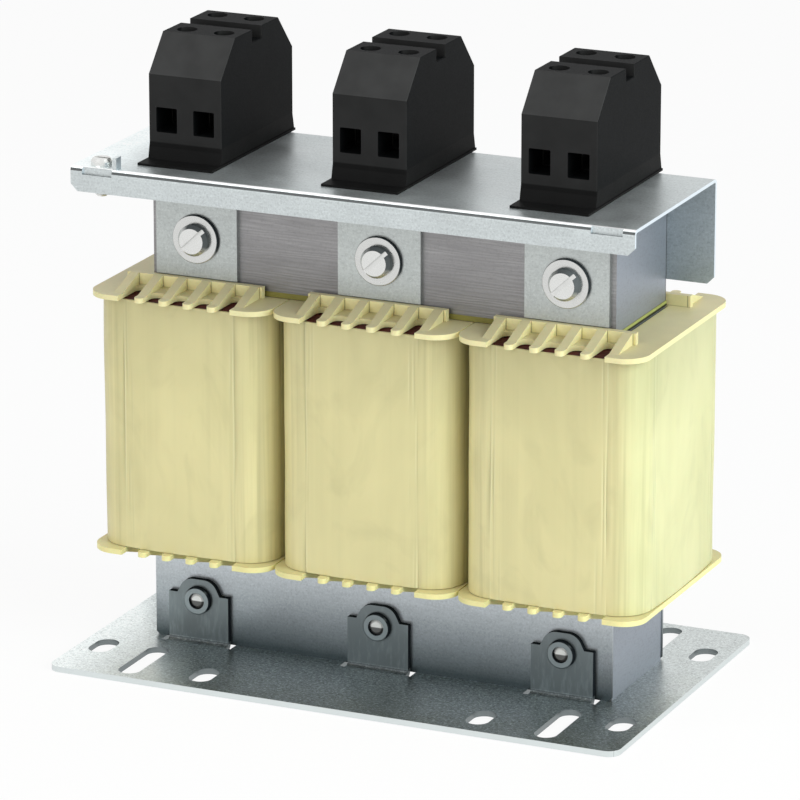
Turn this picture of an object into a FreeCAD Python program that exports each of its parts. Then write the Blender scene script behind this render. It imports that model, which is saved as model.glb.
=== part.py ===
import FreeCAD, Part
import math
import os
import Sketcher
from types import SimpleNamespace

# A three phase line reactor: a laminated core with three coils stands on a base plate with
# bent up tabs. A folded cover on top of the core carries three double terminal blocks.
# X runs along the core, Y to the rear and Z up, in millimetres. The origin is the middle of
# the base plate's underside.

Vector = FreeCAD.Vector

# Driving sizes, one sheet cell each.
SIZES = {
    # base plate
    "plate_wide": 185.4,
    "plate_deep": 112.2,
    "plate_thick": 1.8,
    "plate_corner": 4.0,
    "corner_hole_inset_wide": 7.7,
    "corner_hole_inset_deep": 22.7,
    "inner_hole_inset_wide": 47.4,
    "inner_hole_inset_deep": 11.3,
    "oval_hole_wide": 7.2,
    "oval_hole_long": 12.2,
    "slot_inset_wide": 24.7,
    "slot_inset_deep": 15.75,
    "slot_wide": 7.0,
    "slot_long": 25.4,
    # upright tabs of the base plate
    "tab_wide": 20.0,
    "tab_bend_radius": 1.0,
    "tab_notch_wide": 1.7,
    "tab_notch_deep": 1.2,
    "tab_shoulder_rise": 15.3,
    "tab_head_rise": 20.1,
    "tab_head_foot": 14.2,
    "tab_head_top": 9.4,
    "tab_head_round": 4.6,
    "tab_cut_gap": 0.3,
    "collar_radius": 4.4,
    "collar_proud": 1.5,
    "collar_chamfer": 0.4,
    # laminated core
    "core_back": 3.9,
    "core_deep": 39.3,
    "yoke_high": 30.0,
    "leg_wide": 30.0,
    "leg_high": 81.8,
    "gap_sheet_thick": 1.6,
    "gap_sheet_spare": 0.2,
    "core_hole_radius": 2.75,
    "lower_screw_rise": 13.6,
    "upper_screw_rise": 14.05,
    "side_sheet_thick": 1.0,
    "side_sheet_spare": 0.25,
    "side_sheet_drop": 0.4,
    "side_sheet_cut": 1.0,
    # coil formers, windings and wraps
    "former_gap": 0.5,
    "former_high": 81.6,
    "flange_reach_wide": 0.85,
    "flange_reach_deep": 3.2,
    "flange_thick": 1.6,
    "flange_corner": 7.5,
    "tube_wall": 1.4,
    "tube_gap": 0.7,
    "stop_wall_gap": 0.15,
    "stop_wall_thick": 2.0,
    "stop_wall_high": 3.6,
    "stop_wall_long": 44.8,
    "rib_thick": 2.9,
    "rib_pitch": 8.0,
    "rib_reach": 11.0,
    "outer_slot_start": 0.7,
    "inner_slot_start": 6.6,
    "slot_round": 2.2,
    "tongue_round": 1.3,
    "wrap_wide": 57.8,
    "wrap_deep": 68.0,
    "wrap_corner": 10.3,
    "wrap_thick": 0.8,
    "wrap_end_gap": 0.2,
    # clamp straps on the front of the upper yoke
    "strap_wide": 26.8,
    "strap_thick": 1.5,
    "strap_rise": 2.1,
    "strap_leg": 12.0,
    "strap_bend_radius": 1.5,
    # clamp screws and washers
    "screw_radius": 2.5,
    "screw_fit": 0.05,
    "screw_head_radius": 4.85,
    "screw_face_radius": 3.9,
    "screw_head_high": 2.7,
    "screw_head_rim": 1.5,
    "screw_slot_wide": 1.3,
    "screw_slot_deep": 1.4,
    "screw_slot_turn": 43.0,
    "screw_tip_chamfer": 0.9,
    "screw_tip_inset": 0.3,
    "washer_radius": 7.5,
    "washer_thick": 1.2,
    "washer_chamfer": 0.25,
    # folded cover
    "cover_wide": 180.4,
    "cover_top": 154.0,
    "cover_thick": 1.0,
    "cover_front_reach": 43.9,
    "cover_front_drop": 7.6,
    "cover_rear_drop": 32.2,
    "cover_bend_radius": 0.6,
    "cover_corner_cut": 2.2,
    "cutout_offset": 81.5,
    "cutout_wide": 9.8,
    "cutout_drop": 2.3,
    "cutout_deep": 0.9,
    "lead_hole_wide": 18.0,
    "lead_hole_deep": 6.0,
    "lead_hole_round": 1.0,
    # earth point at the cover's left front
    "earth_offset": 82.5,
    "earth_inset": 5.3,
    "earth_radius": 2.0,
    "earth_head_radius": 3.2,
    "earth_face_radius": 2.6,
    "earth_head_high": 2.1,
    "earth_head_rim": 1.2,
    "earth_slot_wide": 1.0,
    "earth_slot_deep": 0.9,
    "earth_screw_long": 9.5,
    "earth_nut_across": 7.0,
    "earth_nut_high": 3.2,
    "lug_thick": 1.2,
    "lug_deep": 4.1,
    "lug_high": 3.5,
    # terminal blocks
    "block_wide": 23.9,
    "block_deep": 49.6,
    "block_forward": 3.1,
    "block_shoulder_rise": 26.3,
    "block_rise": 37.25,
    "block_top_deep": 30.0,
    "block_round": 0.35,
    "cross_slot_wide": 6.4,
    "cross_slot_deep": 3.8,
    "flare_out": 1.0,
    "flare_rise": 4.2,
    "foot_wide": 24.6,
    "foot_thick": 0.7,
    "foot_lip": 7.3,
    "pole_offset": 6.1,
    "screw_row_offset": 10.3,
    "entry_wide": 6.8,
    "entry_high": 7.6,
    "entry_rise": 8.8,
    "entry_round": 0.4,
    "access_radius": 3.1,
    "ledge_rise": 26.5,
    "shank_hole_radius": 2.2,
    "cavity_wide": 9.0,
    "cavity_deep": 8.2,
    "cavity_rise": 19.2,
    "hook_wide": 8.0,
    "hook_thick": 1.8,
    "hook_inset": 3.15,
    "hook_barb": 0.9,
    "hook_barb_high": 1.7,
    "hook_gap": 0.2,
    # clamps and screws inside the terminal blocks
    "cage_gap": 0.15,
    "cage_wall": 1.2,
    "cage_high": 12.6,
    "clamp_screw_radius": 2.0,
    "clamp_head_radius": 2.9,
    "clamp_face_radius": 2.6,
    "clamp_head_high": 2.4,
    "clamp_head_rim": 2.0,
    "clamp_slot_wide": 0.9,
    "clamp_slot_deep": 1.1,
    "clamp_screw_long": 13.5,
    "clamp_tip_chamfer": 0.5,
}

PHASES = {"left": -1, "mid": 0, "right": 1}
SIDES = {"front": -1, "rear": 1}
RIB_COUNT = 6
SLOT_COUNT = RIB_COUNT - 1
HEX_CORNER = 1 / math.sqrt(3)
QUARTER_TURN = math.pi / 2
TINY = 1e-6


class Size:
    """A length that carries its number and the sheet expression behind it."""

    def __init__(self, number, text):
        self.number = float(number)
        self.text = text

    @staticmethod
    def of(value):
        if isinstance(value, Size):
            return value
        return Size(value, repr(float(value)))

    def __add__(self, other):
        other = Size.of(other)
        return Size(self.number + other.number, f"({self.text} + {other.text})")

    def __sub__(self, other):
        other = Size.of(other)
        return Size(self.number - other.number, f"({self.text} - {other.text})")

    def __mul__(self, other):
        other = Size.of(other)
        return Size(self.number * other.number, f"({self.text} * {other.text})")

    def __truediv__(self, other):
        other = Size.of(other)
        return Size(self.number / other.number, f"({self.text} / {other.text})")

    def __neg__(self):
        return self * -1


doc = FreeCAD.newDocument("line_reactor")


def make_sheet():
    """Write the driving sizes into the sheet and hand them back as Size values."""
    sheet = doc.addObject("Spreadsheet::Sheet", "Sizes")
    sizes = SimpleNamespace()
    for row, (alias, number) in enumerate(SIZES.items(), start=1):
        sheet.set(f"A{row}", alias)
        sheet.set(f"B{row}", str(number))
        sheet.setAlias(f"B{row}", alias)
        setattr(sizes, alias, Size(number, f"Sizes.{alias}"))
    doc.recompute()
    return sizes


s = make_sheet()

# Levels above the base plate's underside, and distances of faces from the core's middle.
yoke_top = s.plate_thick + s.yoke_high
leg_top = yoke_top + s.leg_high
upper_yoke_floor = leg_top + s.gap_sheet_thick
lower_screw_level = s.plate_thick + s.lower_screw_rise
upper_screw_level = upper_yoke_floor + s.upper_screw_rise
cover_floor = s.cover_top - s.cover_thick
former_wide = s.wrap_wide + s.flange_reach_wide * 2
former_deep = s.wrap_deep + s.flange_reach_deep * 2
leg_pitch = former_wide + s.former_gap
core_half_wide = leg_pitch + s.leg_wide / 2
core_face = s.core_deep / 2
side_sheet_face = core_face + s.side_sheet_thick
tab_face = side_sheet_face + s.plate_thick
strap_face = core_face + s.strap_thick
cover_rear_face = core_face + s.cover_thick
screw_hole_radius = s.screw_radius + s.screw_fit


def bind(thing, name, value):
    """Tie a property of a document object to the sheet."""
    thing.setExpression(name, Size.of(value).text)


def place(thing, x=0.0, y=0.0, z=0.0, turn=FreeCAD.Rotation()):
    """Turn a sub-part and tie its place to the sheet."""
    thing.Placement = FreeCAD.Placement(Vector(), turn)
    for axis, value in (("x", x), ("y", y), ("z", z)):
        bind(thing, f"Placement.Base.{axis}", value)
    return thing


def new_body(label, separate_solids=False):
    body = doc.addObject("PartDesign::Body", label)
    body.Label = label
    body.AllowCompound = separate_solids
    return body


def origin_item(body, role):
    return next(item for item in body.Origin.OriginFeatures if item.Role == role)


class Drawing:
    """A sketch on one of a body's own planes, drawn to size and then held by its rules."""

    def __init__(self, body, plane, name, offset=0.0):
        self.body = body
        self.sketch = body.newObject("Sketcher::SketchObject", name)
        self.sketch.AttachmentSupport = [(origin_item(body, plane), "")]
        self.sketch.MapMode = "FlatFace"
        bind(self.sketch, "AttachmentOffset.Base.z", offset)
        self.rules = []
        self.ties = []

    def rule(self, kind, *where):
        self.rules.append(Sketcher.Constraint(kind, *where))

    def measure(self, kind, *where, value):
        """Add a rule whose length follows the sheet."""
        value = Size.of(value)
        self.ties.append((len(self.rules), value.text))
        self.rule(kind, *where, value.number)

    def pin(self, shape, point, x, y):
        """Hold a point at its distances from the sketch's origin."""
        for kind, axis, value in (("DistanceX", -2, x), ("DistanceY", -1, y)):
            value = Size.of(value)
            if abs(value.number) < TINY:
                self.rule("PointOnObject", shape, point, axis)
            else:
                self.measure(kind, -1, 1, shape, point, value=value)

    def draw(self, shape, helper=False):
        return self.sketch.addGeometry(shape, helper)

    def circle(self, x, y, radius):
        x, y, radius = Size.of(x), Size.of(y), Size.of(radius)
        middle = Vector(x.number, y.number, 0)
        shape = self.draw(Part.Circle(middle, Vector(0, 0, 1), radius.number))
        self.pin(shape, 3, x, y)
        self.measure("Radius", shape, value=radius)

    def outline(self, *corners):
        """Draw a closed outline through (x, y) corners, or (x, y, radius) where one is rounded."""
        corners = [tuple(Size.of(part) for part in corner) for corner in corners]
        points = [Vector(corner[0].number, corner[1].number, 0) for corner in corners]
        count = len(corners)
        bends = []
        for at, corner in enumerate(corners):
            here = points[at]
            back = (points[at - 1] - here).normalize()
            ahead = (points[(at + 1) % count] - here).normalize()
            radius = corner[2].number if len(corner) > 2 else 0.0
            half = back.getAngle(ahead) / 2
            middle = here + (back + ahead).normalize() * (radius / math.sin(half))
            run = radius / math.tan(half)
            bends.append((here + back * run, here + ahead * run, middle, radius))
        lines = []
        for at in range(count):
            side = Part.LineSegment(bends[at][1], bends[(at + 1) % count][0])
            lines.append(self.draw(side))
        for at, corner in enumerate(corners):
            before, after = lines[at - 1], lines[at]
            start, end, middle, radius = bends[at]
            if not radius:
                self.rule("Coincident", before, 2, after, 1)
                self.pin(after, 1, corner[0], corner[1])
                continue
            tip = self.draw(Part.Point(points[at]), helper=True)
            self.pin(tip, 1, corner[0], corner[1])
            bulge = middle + (points[at] - middle).normalize() * radius
            left_turn = (bulge - start).cross(end - bulge).z > 0
            first, last = (1, 2) if left_turn else (2, 1)
            ends = (start, end) if left_turn else (end, start)
            bend = self.draw(Part.Arc(ends[0], bulge, ends[1]))
            self.rule("Tangent", before, 2, bend, first)
            self.rule("Tangent", bend, last, after, 1)
            self.rule("PointOnObject", tip, 1, before)
            self.rule("PointOnObject", tip, 1, after)
            self.measure("Radius", bend, value=corner[2])

    def box(self, x_low, x_high, y_low, y_high, *radius):
        self.outline(
            (x_low, y_low, *radius),
            (x_high, y_low, *radius),
            (x_high, y_high, *radius),
            (x_low, y_high, *radius),
        )

    def oval(self, x, y, wide, long):
        """Draw a round ended slot that runs along the sketch's second axis."""
        radius, reach = wide / 2, (long - wide) / 2
        far = Vector(x.number, y.number + reach.number, 0)
        near = Vector(x.number, y.number - reach.number, 0)
        side = Vector(radius.number, 0, 0)
        rise = Vector(0, radius.number, 0)
        top = self.draw(Part.Arc(far + side, far + rise, far - side))
        low = self.draw(Part.Arc(near - side, near - rise, near + side))
        left = self.draw(Part.LineSegment(far - side, near - side))
        right = self.draw(Part.LineSegment(near + side, far + side))
        for joint in ((top, 2, left, 1), (left, 2, low, 1), (low, 2, right, 1), (right, 2, top, 1)):
            self.rule("Tangent", *joint)
        self.rule("Vertical", right)
        self.pin(top, 3, x, y + reach)
        self.measure("DistanceY", -1, 1, low, 3, value=y - reach)
        self.measure("Radius", top, value=radius)

    def close(self):
        self.sketch.addConstraint(self.rules)
        for index, text in self.ties:
            self.sketch.setExpression(f"Constraints[{index}]", text)
        self.sketch.Visibility = False
        return self.sketch


def extrude(kind, drawing, length, both, back):
    body = drawing.body
    feature = body.newObject(f"PartDesign::{kind}", f"{drawing.sketch.Name}_{kind.lower()}")
    feature.Profile = drawing.close()
    feature.Reversed = back
    if both:
        feature.SideType = "Symmetric"
    if length is None:
        feature.Type = "ThroughAll"
    else:
        bind(feature, "Length", length)
    doc.recompute()
    return feature


def pad(drawing, length, both=False, back=False):
    return extrude("Pad", drawing, length, both, back)


def pocket(drawing, length=None, both=False, back=False):
    """Cut a drawing out of its body and make sure that something was cut."""
    before = drawing.body.Shape.Volume
    feature = extrude("Pocket", drawing, length, both, back)
    if drawing.body.Shape.Volume > before - TINY:
        raise RuntimeError(f"{feature.Name} cuts nothing")
    return feature


def revolve(drawing):
    """Spin a drawing round its body's upright axis."""
    body = drawing.body
    feature = body.newObject("PartDesign::Revolution", f"{drawing.sketch.Name}_spun")
    feature.Profile = drawing.close()
    feature.ReferenceAxis = (origin_item(body, "Z_Axis"), [""])
    feature.Angle = 360
    doc.recompute()
    return feature


def finish_pattern(body, feature, features):
    feature.Originals = features
    body.Tip = feature
    doc.recompute()
    return feature


def mirror(body, features, plane):
    """Repeat features on the other side of one of the body's planes."""
    feature = body.newObject("PartDesign::Mirrored", f"{features[-1].Name}_mirrored")
    feature.MirrorPlane = (origin_item(body, plane), [""])
    return finish_pattern(body, feature, features)


def repeat_along(body, features, length, count):
    """Repeat features along X over a length."""
    feature = body.newObject("PartDesign::LinearPattern", f"{features[-1].Name}_row")
    feature.Direction = (origin_item(body, "X_Axis"), [""])
    feature.Occurrences = count
    bind(feature, "Length", length)
    return finish_pattern(body, feature, features)


def repeat_four(body, features, length_x, length_y):
    """Repeat features at the four corners of a rectangle."""
    feature = body.newObject("PartDesign::LinearPattern", f"{features[-1].Name}_four")
    feature.Direction = (origin_item(body, "X_Axis"), [""])
    feature.Occurrences = 2
    bind(feature, "Length", length_x)
    feature.Direction2 = (origin_item(body, "Y_Axis"), [""])
    feature.Occurrences2 = 2
    bind(feature, "Length2", length_y)
    return finish_pattern(body, feature, features)


def dress(kind, body, radius, chosen):
    """Round or bevel the edges of the body's last shape that the test picks."""
    base = body.Tip
    names = [f"Edge{at}" for at, edge in enumerate(base.Shape.Edges, start=1) if chosen(edge)]
    if not names:
        raise RuntimeError(f"{body.Label} has no edge for its {kind}")
    feature = body.newObject(f"PartDesign::{kind}", f"{base.Name}_{kind.lower()}")
    feature.Base = (base, names)
    bind(feature, "Radius" if kind == "Fillet" else "Size", radius)
    doc.recompute()
    return feature


def at_level(edge, axis, level):
    """Tell whether an edge lies in a plane across one of the axes."""
    middle = (edge.FirstParameter + edge.LastParameter) / 2
    points = [vertex.Point for vertex in edge.Vertexes] + [edge.valueAt(middle)]
    return all(abs(getattr(point, axis) - Size.of(level).number) < TINY for point in points)


def runs_along(edge, axis):
    """Tell whether an edge is a straight line along one of the axes."""
    if edge.Curve.TypeId != "Part::GeomLine":
        return False
    return abs(getattr(edge.tangentAt(edge.FirstParameter), axis)) > 1 - TINY


def row_of_holes(body, level, radius, name, offset=0.0, length=None, both=True, back=False):
    """Cut the holes for the three clamp screws."""
    holes = Drawing(body, "XZ_Plane", name, offset)
    for step in PHASES.values():
        holes.circle(leg_pitch * step, level, radius)
    return pocket(holes, length, both, back)


def make_base_plate():
    """One sheet with oval holes and slots, and six tabs bent up against the lower yoke."""
    body = new_body("base_plate")
    half_wide, half_deep = s.plate_wide / 2, s.plate_deep / 2
    sheet = Drawing(body, "XY_Plane", "plate_outline")
    sheet.box(-half_wide, half_wide, -half_deep, half_deep, s.plate_corner)
    pad(sheet, s.plate_thick)

    rows = (
        (s.corner_hole_inset_wide, s.corner_hole_inset_deep, s.oval_hole_wide, s.oval_hole_long),
        (s.inner_hole_inset_wide, s.inner_hole_inset_deep, s.oval_hole_wide, s.oval_hole_long),
        (s.slot_inset_wide, s.slot_inset_deep, s.slot_wide, s.slot_long),
    )
    holes = Drawing(body, "XY_Plane", "plate_holes")
    for inset_wide, inset_deep, wide, long in rows:
        holes.oval(inset_wide - half_wide, inset_deep - half_deep, wide, long)
        holes.oval(half_wide - inset_wide, inset_deep - half_deep, wide, long)
    mirror(body, [pocket(holes, both=True)], "XZ_Plane")

    left = -leg_pitch
    bend_outer = s.tab_bend_radius + s.plate_thick
    bend_start = side_sheet_face + bend_outer
    notch_end = bend_start + s.tab_notch_deep
    bend_length = (s.tab_bend_radius + s.plate_thick / 2) * QUARTER_TURN
    cut_shoulder = bend_start - bend_length + s.tab_bend_radius - s.tab_shoulder_rise
    cut_end = cut_shoulder - (s.tab_head_rise - s.tab_shoulder_rise) - s.tab_cut_gap
    half_tab, half_foot, half_top = s.tab_wide / 2, s.tab_head_foot / 2, s.tab_head_top / 2
    half_cut = half_tab + s.tab_notch_wide
    cut_foot, cut_top = half_foot + s.tab_cut_gap, half_top + s.tab_cut_gap
    tab_root = notch_end + s.tab_notch_deep
    shoulder = s.plate_thick + s.tab_shoulder_rise
    head_top = s.plate_thick + s.tab_head_rise
    copied = []
    for side_name, side in SIDES.items():
        window = Drawing(body, "XY_Plane", f"{side_name}_tab_window")
        window.outline(
            (left - half_cut, notch_end * side + s.core_back),
            (left + half_cut, notch_end * side + s.core_back),
            (left + half_cut, cut_shoulder * side + s.core_back),
            (left + cut_foot, cut_shoulder * side + s.core_back),
            (left + cut_top, cut_end * side + s.core_back, s.tab_head_round),
            (left - cut_top, cut_end * side + s.core_back, s.tab_head_round),
            (left - cut_foot, cut_shoulder * side + s.core_back),
            (left - half_cut, cut_shoulder * side + s.core_back),
        )
        copied.append(pocket(window, both=True))
    for side_name, side in SIDES.items():
        inner, outer = side_sheet_face * side + s.core_back, tab_face * side + s.core_back
        root = tab_root * side + s.core_back
        bend = Drawing(body, "YZ_Plane", f"{side_name}_tab_bend", left)
        bend.outline(
            (root, 0.0),
            (inner, 0.0, bend_outer),
            (inner, shoulder),
            (outer, shoulder),
            (outer, s.plate_thick, s.tab_bend_radius),
            (root, s.plate_thick),
        )
        copied.append(pad(bend, s.tab_wide, both=True))
        head = Drawing(body, "XZ_Plane", f"{side_name}_tab_head", -outer)
        head.outline(
            (left - half_foot, shoulder - s.plate_thick),
            (left + half_foot, shoulder - s.plate_thick),
            (left + half_foot, shoulder),
            (left + half_top, head_top, s.tab_head_round),
            (left - half_top, head_top, s.tab_head_round),
            (left - half_foot, shoulder),
        )
        copied.append(pad(head, s.plate_thick, back=side < 0))
    collar = Drawing(body, "XZ_Plane", "front_collar", tab_face - s.core_back)
    collar.circle(left, lower_screw_level, s.collar_radius)
    copied.append(pad(collar, s.collar_proud))
    repeat_along(body, copied, leg_pitch * 2, len(PHASES))

    collar_front = s.core_back - tab_face - s.collar_proud
    dress("Chamfer", body, s.collar_chamfer, lambda edge: at_level(edge, "y", collar_front))
    row_of_holes(body, lower_screw_level, screw_hole_radius, "front_tab_holes",
                 -s.core_back, both=False, back=True)
    row_of_holes(body, lower_screw_level, s.core_hole_radius, "rear_tab_holes",
                 -s.core_back, both=False)
    return [body]


def make_core():
    """The lower yoke with its three legs, as one stack of E shaped sheets."""
    body = new_body("core_stack")
    top = s.yoke_high + s.leg_high
    legs = []
    for step in sorted(PHASES.values(), reverse=True):
        right = leg_pitch * step + s.leg_wide / 2
        left = leg_pitch * step - s.leg_wide / 2
        legs += [(right, s.yoke_high), (right, top), (left, top), (left, s.yoke_high)]
    stack = Drawing(body, "XZ_Plane", "stack_outline")
    stack.outline((-core_half_wide, 0.0), (core_half_wide, 0.0), *legs[1:-1])
    pad(stack, s.core_deep, both=True)
    row_of_holes(body, s.lower_screw_rise, s.core_hole_radius, "core_screw_holes")
    return [place(body, 0, s.core_back, s.plate_thick)]


def make_upper_yoke():
    body = new_body("upper_yoke")
    stack = Drawing(body, "XZ_Plane", "yoke_outline")
    stack.box(-core_half_wide, core_half_wide, 0.0, s.yoke_high)
    pad(stack, s.core_deep, both=True)
    row_of_holes(body, s.upper_screw_rise, s.core_hole_radius, "yoke_screw_holes")
    return [place(body, 0, s.core_back, upper_yoke_floor)]


def make_gap_sheet():
    """The insulating sheet that keeps the air gap between the legs and the upper yoke."""
    body = new_body("gap_sheet")
    half_wide, half_deep = core_half_wide + s.gap_sheet_spare, core_face + s.gap_sheet_spare
    sheet = Drawing(body, "XY_Plane", "gap_sheet_outline")
    sheet.box(-half_wide, half_wide, -half_deep, half_deep)
    pad(sheet, s.gap_sheet_thick)
    return [place(body, 0, s.core_back, leg_top)]


def make_side_sheets():
    """Plain steel sheets that cover the lower yoke's front and rear faces."""
    bodies = []
    half_wide = core_half_wide + s.side_sheet_spare
    top = s.yoke_high - s.side_sheet_drop
    for side_name, side in SIDES.items():
        body = new_body(f"side_sheet_{side_name}")
        sheet = Drawing(body, "XZ_Plane", f"{side_name}_sheet_outline", core_face * -side)
        sheet.outline(
            (-half_wide + s.side_sheet_cut, 0.0),
            (half_wide - s.side_sheet_cut, 0.0),
            (half_wide, s.side_sheet_cut),
            (half_wide, top),
            (-half_wide, top),
            (-half_wide, s.side_sheet_cut),
        )
        pad(sheet, s.side_sheet_thick, back=side > 0)
        row_of_holes(body, s.lower_screw_rise, s.core_hole_radius, f"{side_name}_sheet_holes")
        bodies.append(place(body, 0, s.core_back, s.plate_thick))
    return bodies


def make_former(name, step):
    """A moulded coil former: a tube with two flanges, each with ribbed stop walls and slots."""
    body = new_body(f"former_{name}")
    half_wide, half_deep, half_high = former_wide / 2, former_deep / 2, s.former_high / 2
    inner_wide, inner_deep = s.leg_wide / 2 + s.tube_gap, core_face + s.tube_gap
    tube_wide, tube_deep = inner_wide + s.tube_wall, inner_deep + s.tube_wall
    tube = Drawing(body, "XY_Plane", f"{name}_tube")
    tube.box(-tube_wide, tube_wide, -tube_deep, tube_deep, s.tube_wall)
    pad(tube, s.former_high, both=True)

    flange = Drawing(body, "XY_Plane", f"{name}_flange", half_high - s.flange_thick)
    flange.box(-half_wide, half_wide, -half_deep, half_deep, s.flange_corner)
    mirrored = [pad(flange, s.flange_thick)]

    wall_inner = side_sheet_face + s.stop_wall_gap
    wall_outer = wall_inner + s.stop_wall_thick
    wall_middle = wall_inner + s.stop_wall_thick / 2
    wall_top = half_high + s.stop_wall_high
    rib_foot = half_high - s.flange_thick / 2
    half_long = s.stop_wall_long / 2
    half_ribs = (s.rib_pitch * SLOT_COUNT + s.rib_thick) / 2
    half_gap = (s.rib_pitch - s.rib_thick) / 2
    walls = Drawing(body, "XY_Plane", f"{name}_stop_walls", rib_foot)
    ribs = Drawing(body, "YZ_Plane", f"{name}_ribs")
    gaps = Drawing(body, "XY_Plane", f"{name}_rib_gaps", half_high)
    slots = Drawing(body, "XY_Plane", f"{name}_slots", half_high)
    for side in SIDES.values():
        inner, outer = wall_inner * side, wall_outer * side
        reach = (wall_outer + s.rib_reach) * side
        walls.box(-half_long, half_long, inner, outer)
        ribs.outline(
            (wall_middle * side, rib_foot),
            (wall_middle * side, wall_top),
            (outer, wall_top),
            (reach, half_high),
            (reach, rib_foot),
        )
        for at in range(SLOT_COUNT):
            middle = s.rib_pitch * (at - (SLOT_COUNT - 1) / 2)
            start = s.outer_slot_start if at in (0, SLOT_COUNT - 1) else s.inner_slot_start
            gap_end = (wall_outer + s.rib_reach + s.tongue_round) * side
            slot_end = (half_deep + s.tongue_round) * side
            gaps.box(middle - half_gap, middle + half_gap, outer, gap_end)
            slots.box(middle - half_gap, middle + half_gap, (wall_outer + start) * side, slot_end)
    mirrored.append(pad(walls, wall_top - rib_foot))
    mirrored.append(pad(ribs, half_ribs * 2, both=True))
    mirrored.append(pocket(gaps, s.stop_wall_high, back=True))
    mirrored.append(pocket(slots, s.flange_thick))
    mirror(body, mirrored, "XY_Plane")

    bore = Drawing(body, "XY_Plane", f"{name}_bore")
    bore.box(-inner_wide, inner_wide, -inner_deep, inner_deep)
    pocket(bore, both=True)

    def is_slot_edge(edge, levels, half_long):
        """Tell whether an upright edge stands at one of the levels, near the former's middle."""
        at = edge.Vertexes[0].Point
        at_one = any(abs(abs(at.y) - level.number) < TINY for level in levels)
        return at_one and abs(at.x) < half_long.number and runs_along(edge, "z")

    slot_starts = (wall_outer + s.outer_slot_start, wall_outer + s.inner_slot_start)
    dress("Fillet", body, s.tongue_round,
          lambda edge: is_slot_edge(edge, (half_deep,), s.rib_pitch * 2))
    dress("Fillet", body, s.slot_round,
          lambda edge: is_slot_edge(edge, slot_starts, s.rib_pitch * 3))
    return place(body, leg_pitch * step, s.core_back, yoke_top + s.former_high / 2)


def make_ring(label, step, outer, inner, high):
    """A closed ring round a former: each side is (half width, half depth, corner radius)."""
    body = new_body(label)
    ring = Drawing(body, "XY_Plane", f"{label}_outline")
    for wide, deep, corner in (outer, inner):
        ring.box(-wide, wide, -deep, deep, corner)
    pad(ring, high, both=True)
    return place(body, leg_pitch * step, s.core_back, yoke_top + s.former_high / 2)


def make_coils():
    """Each phase has a former, a winding and a wrap."""
    bodies = []
    half_wide, half_deep = s.wrap_wide / 2, s.wrap_deep / 2
    wrap_outer = (half_wide, half_deep, s.wrap_corner)
    wrap_inner = tuple(part - s.wrap_thick for part in wrap_outer)
    tube = s.tube_gap + s.tube_wall
    tube_outer = (s.leg_wide / 2 + tube, core_face + tube, s.tube_wall)
    winding_high = s.former_high - s.flange_thick * 2
    for name, step in PHASES.items():
        bodies.append(make_former(name, step))
        bodies.append(make_ring(f"winding_{name}", step, wrap_inner, tube_outer, winding_high))
        wrap_high = winding_high - s.wrap_end_gap * 2
        bodies.append(make_ring(f"wrap_{name}", step, wrap_outer, wrap_inner, wrap_high))
    return bodies


def make_strap(name, step):
    """A flat strap from the upper yoke's front face up to the cover, bent over on top."""
    body = new_body(f"strap_{name}")
    outer_bend = s.strap_bend_radius + s.strap_thick
    foot, top = upper_yoke_floor + s.strap_rise, cover_floor
    end = s.strap_leg - strap_face
    side_view = Drawing(body, "YZ_Plane", f"{name}_strap_side")
    side_view.outline(
        (-core_face, foot),
        (-core_face, top - s.strap_thick, s.strap_bend_radius),
        (end, top - s.strap_thick),
        (end, top),
        (-strap_face, top, outer_bend),
        (-strap_face, foot),
    )
    pad(side_view, s.strap_wide, both=True)
    hole = Drawing(body, "XZ_Plane", f"{name}_strap_hole", core_face)
    hole.circle(0.0, upper_screw_level, s.core_hole_radius)
    pocket(hole, both=True)
    return place(body, leg_pitch * step, s.core_back, 0.0)


def make_washer(label, x, y, z):
    body = new_body(label)
    ring = Drawing(body, "XZ_Plane", f"{label}_outline")
    ring.circle(0.0, 0.0, s.washer_radius)
    ring.circle(0.0, 0.0, s.core_hole_radius)
    pad(ring, s.washer_thick)
    dress("Chamfer", body, s.washer_chamfer,
          lambda edge: edge.BoundBox.XLength > s.washer_radius.number * 1.9)
    return place(body, x, y, z)


def make_screw(body, name, sizes):
    """A slotted screw, head up, with the underside of its head at the body's origin."""
    profile = Drawing(body, "XZ_Plane", f"{name}_profile")
    profile.outline(
        (0.0, sizes.head_high),
        (sizes.face_radius, sizes.head_high),
        (sizes.head_radius, sizes.head_rim),
        (sizes.head_radius, 0.0),
        (sizes.radius, 0.0),
        (sizes.radius, sizes.tip_chamfer - sizes.long),
        (sizes.radius - sizes.tip_chamfer, -sizes.long),
        (0.0, -sizes.long),
    )
    shank = revolve(profile)
    cut = Drawing(body, "XY_Plane", f"{name}_slot", sizes.head_high)
    reach = sizes.head_radius * 2
    cut.box(-reach, reach, -sizes.slot_wide / 2, sizes.slot_wide / 2)
    return [shank, pocket(cut, sizes.slot_deep)]


def clamp_screw_sizes(long):
    return SimpleNamespace(
        radius=s.screw_radius, long=long, tip_chamfer=s.screw_tip_chamfer,
        head_radius=s.screw_head_radius, face_radius=s.screw_face_radius,
        head_high=s.screw_head_high, head_rim=s.screw_head_rim,
        slot_wide=s.screw_slot_wide, slot_deep=s.screw_slot_deep,
    )


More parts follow.
